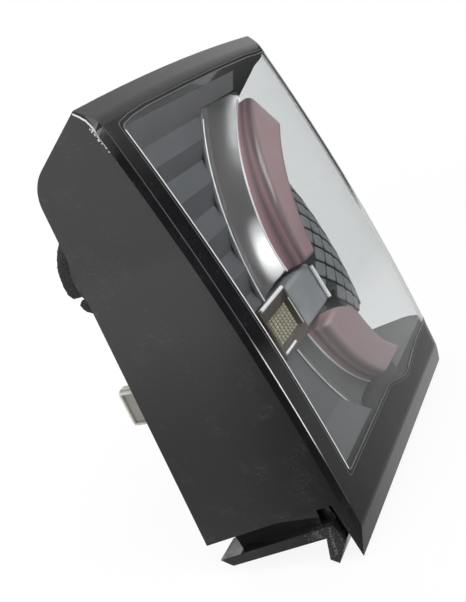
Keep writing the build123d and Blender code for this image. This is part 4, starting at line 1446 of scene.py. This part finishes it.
def add_floor(scene):
    """Plain pale floor just under the lamp."""
    size, gap = 1.6, 0.0005
    mesh = mesh_from("floor_mesh", lambda work: bmesh.ops.create_grid(
        work, x_segments=1, y_segments=1, size=size))
    mesh.transform(Matrix.Translation((0.0, 0.0, CAD_BOX[0].z - gap)))
    floor = bpy.data.objects.new("floor", mesh)
    scene.collection.objects.link(floor)
    pale = Finish("floor_pale", (0.93, 0.93, 0.93))
    pale.mottle(3.0, (0.90, 0.90, 0.90), share=0.3)
    pale.grain(40.0, 0.85, 0.05)
    path = pale.tree.nodes.new("ShaderNodeLightPath").outputs
    share, strength = floor_glow(pale.tree, pale.coords, path)
    glow = add_node(pale.tree, "ShaderNodeEmission", {"Color": WHITE, "Strength": strength})
    show_shaders(pale.tree, share, pale.shader, glow)
    mesh.materials.append(pale.material)


def add_world(scene):
    """Soft light from all round, and white surroundings to look at."""
    world = bpy.data.worlds.new("studio")
    scene.world = world
    world.use_nodes = True
    tree = world.node_tree
    soft = tree.nodes["Background"]
    soft.inputs["Color"].default_value = WHITE
    soft.inputs["Strength"].default_value = SOFT_LIGHT
    path = tree.nodes.new("ShaderNodeLightPath").outputs
    white = add_node(tree, "ShaderNodeBackground", {"Color": WHITE, "Strength": studio_light(tree, path)})
    show_shaders(tree, seen_rays(tree, path), soft, white, "World Output")


def add_lamps(scene):
    """Three soft lamps, and two narrow ones that light only the upper hollow."""
    for name, at, aim, size, power in (
            ("key_lamp", (-0.35, -0.75, 1.35), (0, -0.05, 0.1), 0.9, 13.0),
            ("side_lamp", (-1.3, 0.2, 0.75), (0, -0.05, 0.1), 0.8, 6.0),
            ("back_lamp", (0.6, 1.2, 0.9), (0, 0, 0.1), 0.9, 8.0)):
        add_lamp(name, "AREA", at, Vector(aim) - Vector(at), power, shape="SQUARE", size=size)
    cove = bpy.data.collections.new("cove_only")
    cove.objects.link(scene.objects["upper_hollow"])
    for name, mark, back, cone, reach, power in (
            ("cove_lamp_low", (150, 30.4, -159), (0.846, -0.533, 0.002), 2.6, 0.016, 40.0),
            ("cove_lamp_high", (221.5, 31, -48), (0.891, -0.449, 0.059), 3.8, 0.04, 6.0)):
        holder = add_lamp(name, "SPOT", lens_point(*mark) + Vector(back), -Vector(back), power,
                          spot_size=math.radians(cone), spot_blend=1.0, shadow_soft_size=reach)
        holder.light_linking.receiver_collection = cove
        holder.light_linking.blocker_collection = cove


def add_camera(scene):
    """Camera at the photograph's viewing angle."""
    eye = bpy.data.cameras.new("camera")
    eye.sensor_width = 36.0
    eye.lens = CAMERA_LENS
    eye.clip_start, eye.clip_end = 0.01, 50.0
    camera = bpy.data.objects.new("camera", eye)
    ahead = CAMERA_AHEAD.normalized()
    right = (CAMERA_RIGHT - ahead * CAMERA_RIGHT.dot(ahead)).normalized()
    turn = Matrix((right, right.cross(ahead), -ahead)).transposed()
    camera.matrix_world = Matrix.Translation(CAMERA_AT) @ turn.to_4x4()
    scene.collection.objects.link(camera)
    scene.camera = camera


class TAIL_OT_stage(bpy.types.Operator):
    """Floor, white surroundings, soft lamps and the camera"""
    bl_idname = "tail_light.stage"
    bl_label = "Stage"

    def execute(self, context):
        for add in (add_floor, add_world, add_lamps, add_camera):
            add(context.scene)
        context.scene.view_settings.view_transform = "Standard"
        return {"FINISHED"}


class TAIL_PT_panel(bpy.types.Panel):
    """Lists the settings and the steps"""
    bl_idname = "TAIL_PT_panel"
    bl_label = "Tail Light Cluster"
    bl_space_type = "VIEW_3D"
    bl_region_type = "UI"
    bl_category = "Tail Light"

    def draw(self, context):
        for settings in (context.scene.tail_light_sizes, context.scene.tail_light_colours):
            box = self.layout.box()
            for name in settings.__annotations__:
                box.prop(settings, name)
        for step in STEPS:
            self.layout.operator(step.bl_idname)


STEPS = (TAIL_OT_finishes, TAIL_OT_scaled_panel, TAIL_OT_light_guides, TAIL_OT_bezel_rims,
         TAIL_OT_prism_optic, TAIL_OT_window_bead, TAIL_OT_inner_edge, TAIL_OT_wear_and_highlight_marks,
         TAIL_OT_foam_ring, TAIL_OT_studs, TAIL_OT_cover_screws, TAIL_OT_stage)
CLASSES = (TailLightSizes, TailLightColours, *STEPS, TAIL_PT_panel)


def register():
    """Register the classes and hang the settings on the scene."""
    for cls in CLASSES:
        bpy.utils.register_class(cls)
    bpy.types.Scene.tail_light_sizes = PointerProperty(type=TailLightSizes)
    bpy.types.Scene.tail_light_colours = PointerProperty(type=TailLightColours)


def unregister():
    """Take the settings and the classes away again."""
    del bpy.types.Scene.tail_light_colours
    del bpy.types.Scene.tail_light_sizes
    for cls in reversed(CLASSES):
        bpy.utils.unregister_class(cls)


def main():
    """Run every step in order."""
    register()
    for step in STEPS:
        group, name = step.bl_idname.split(".")
        getattr(getattr(bpy.ops, group), name)()


if __name__ == "__main__":
    main()
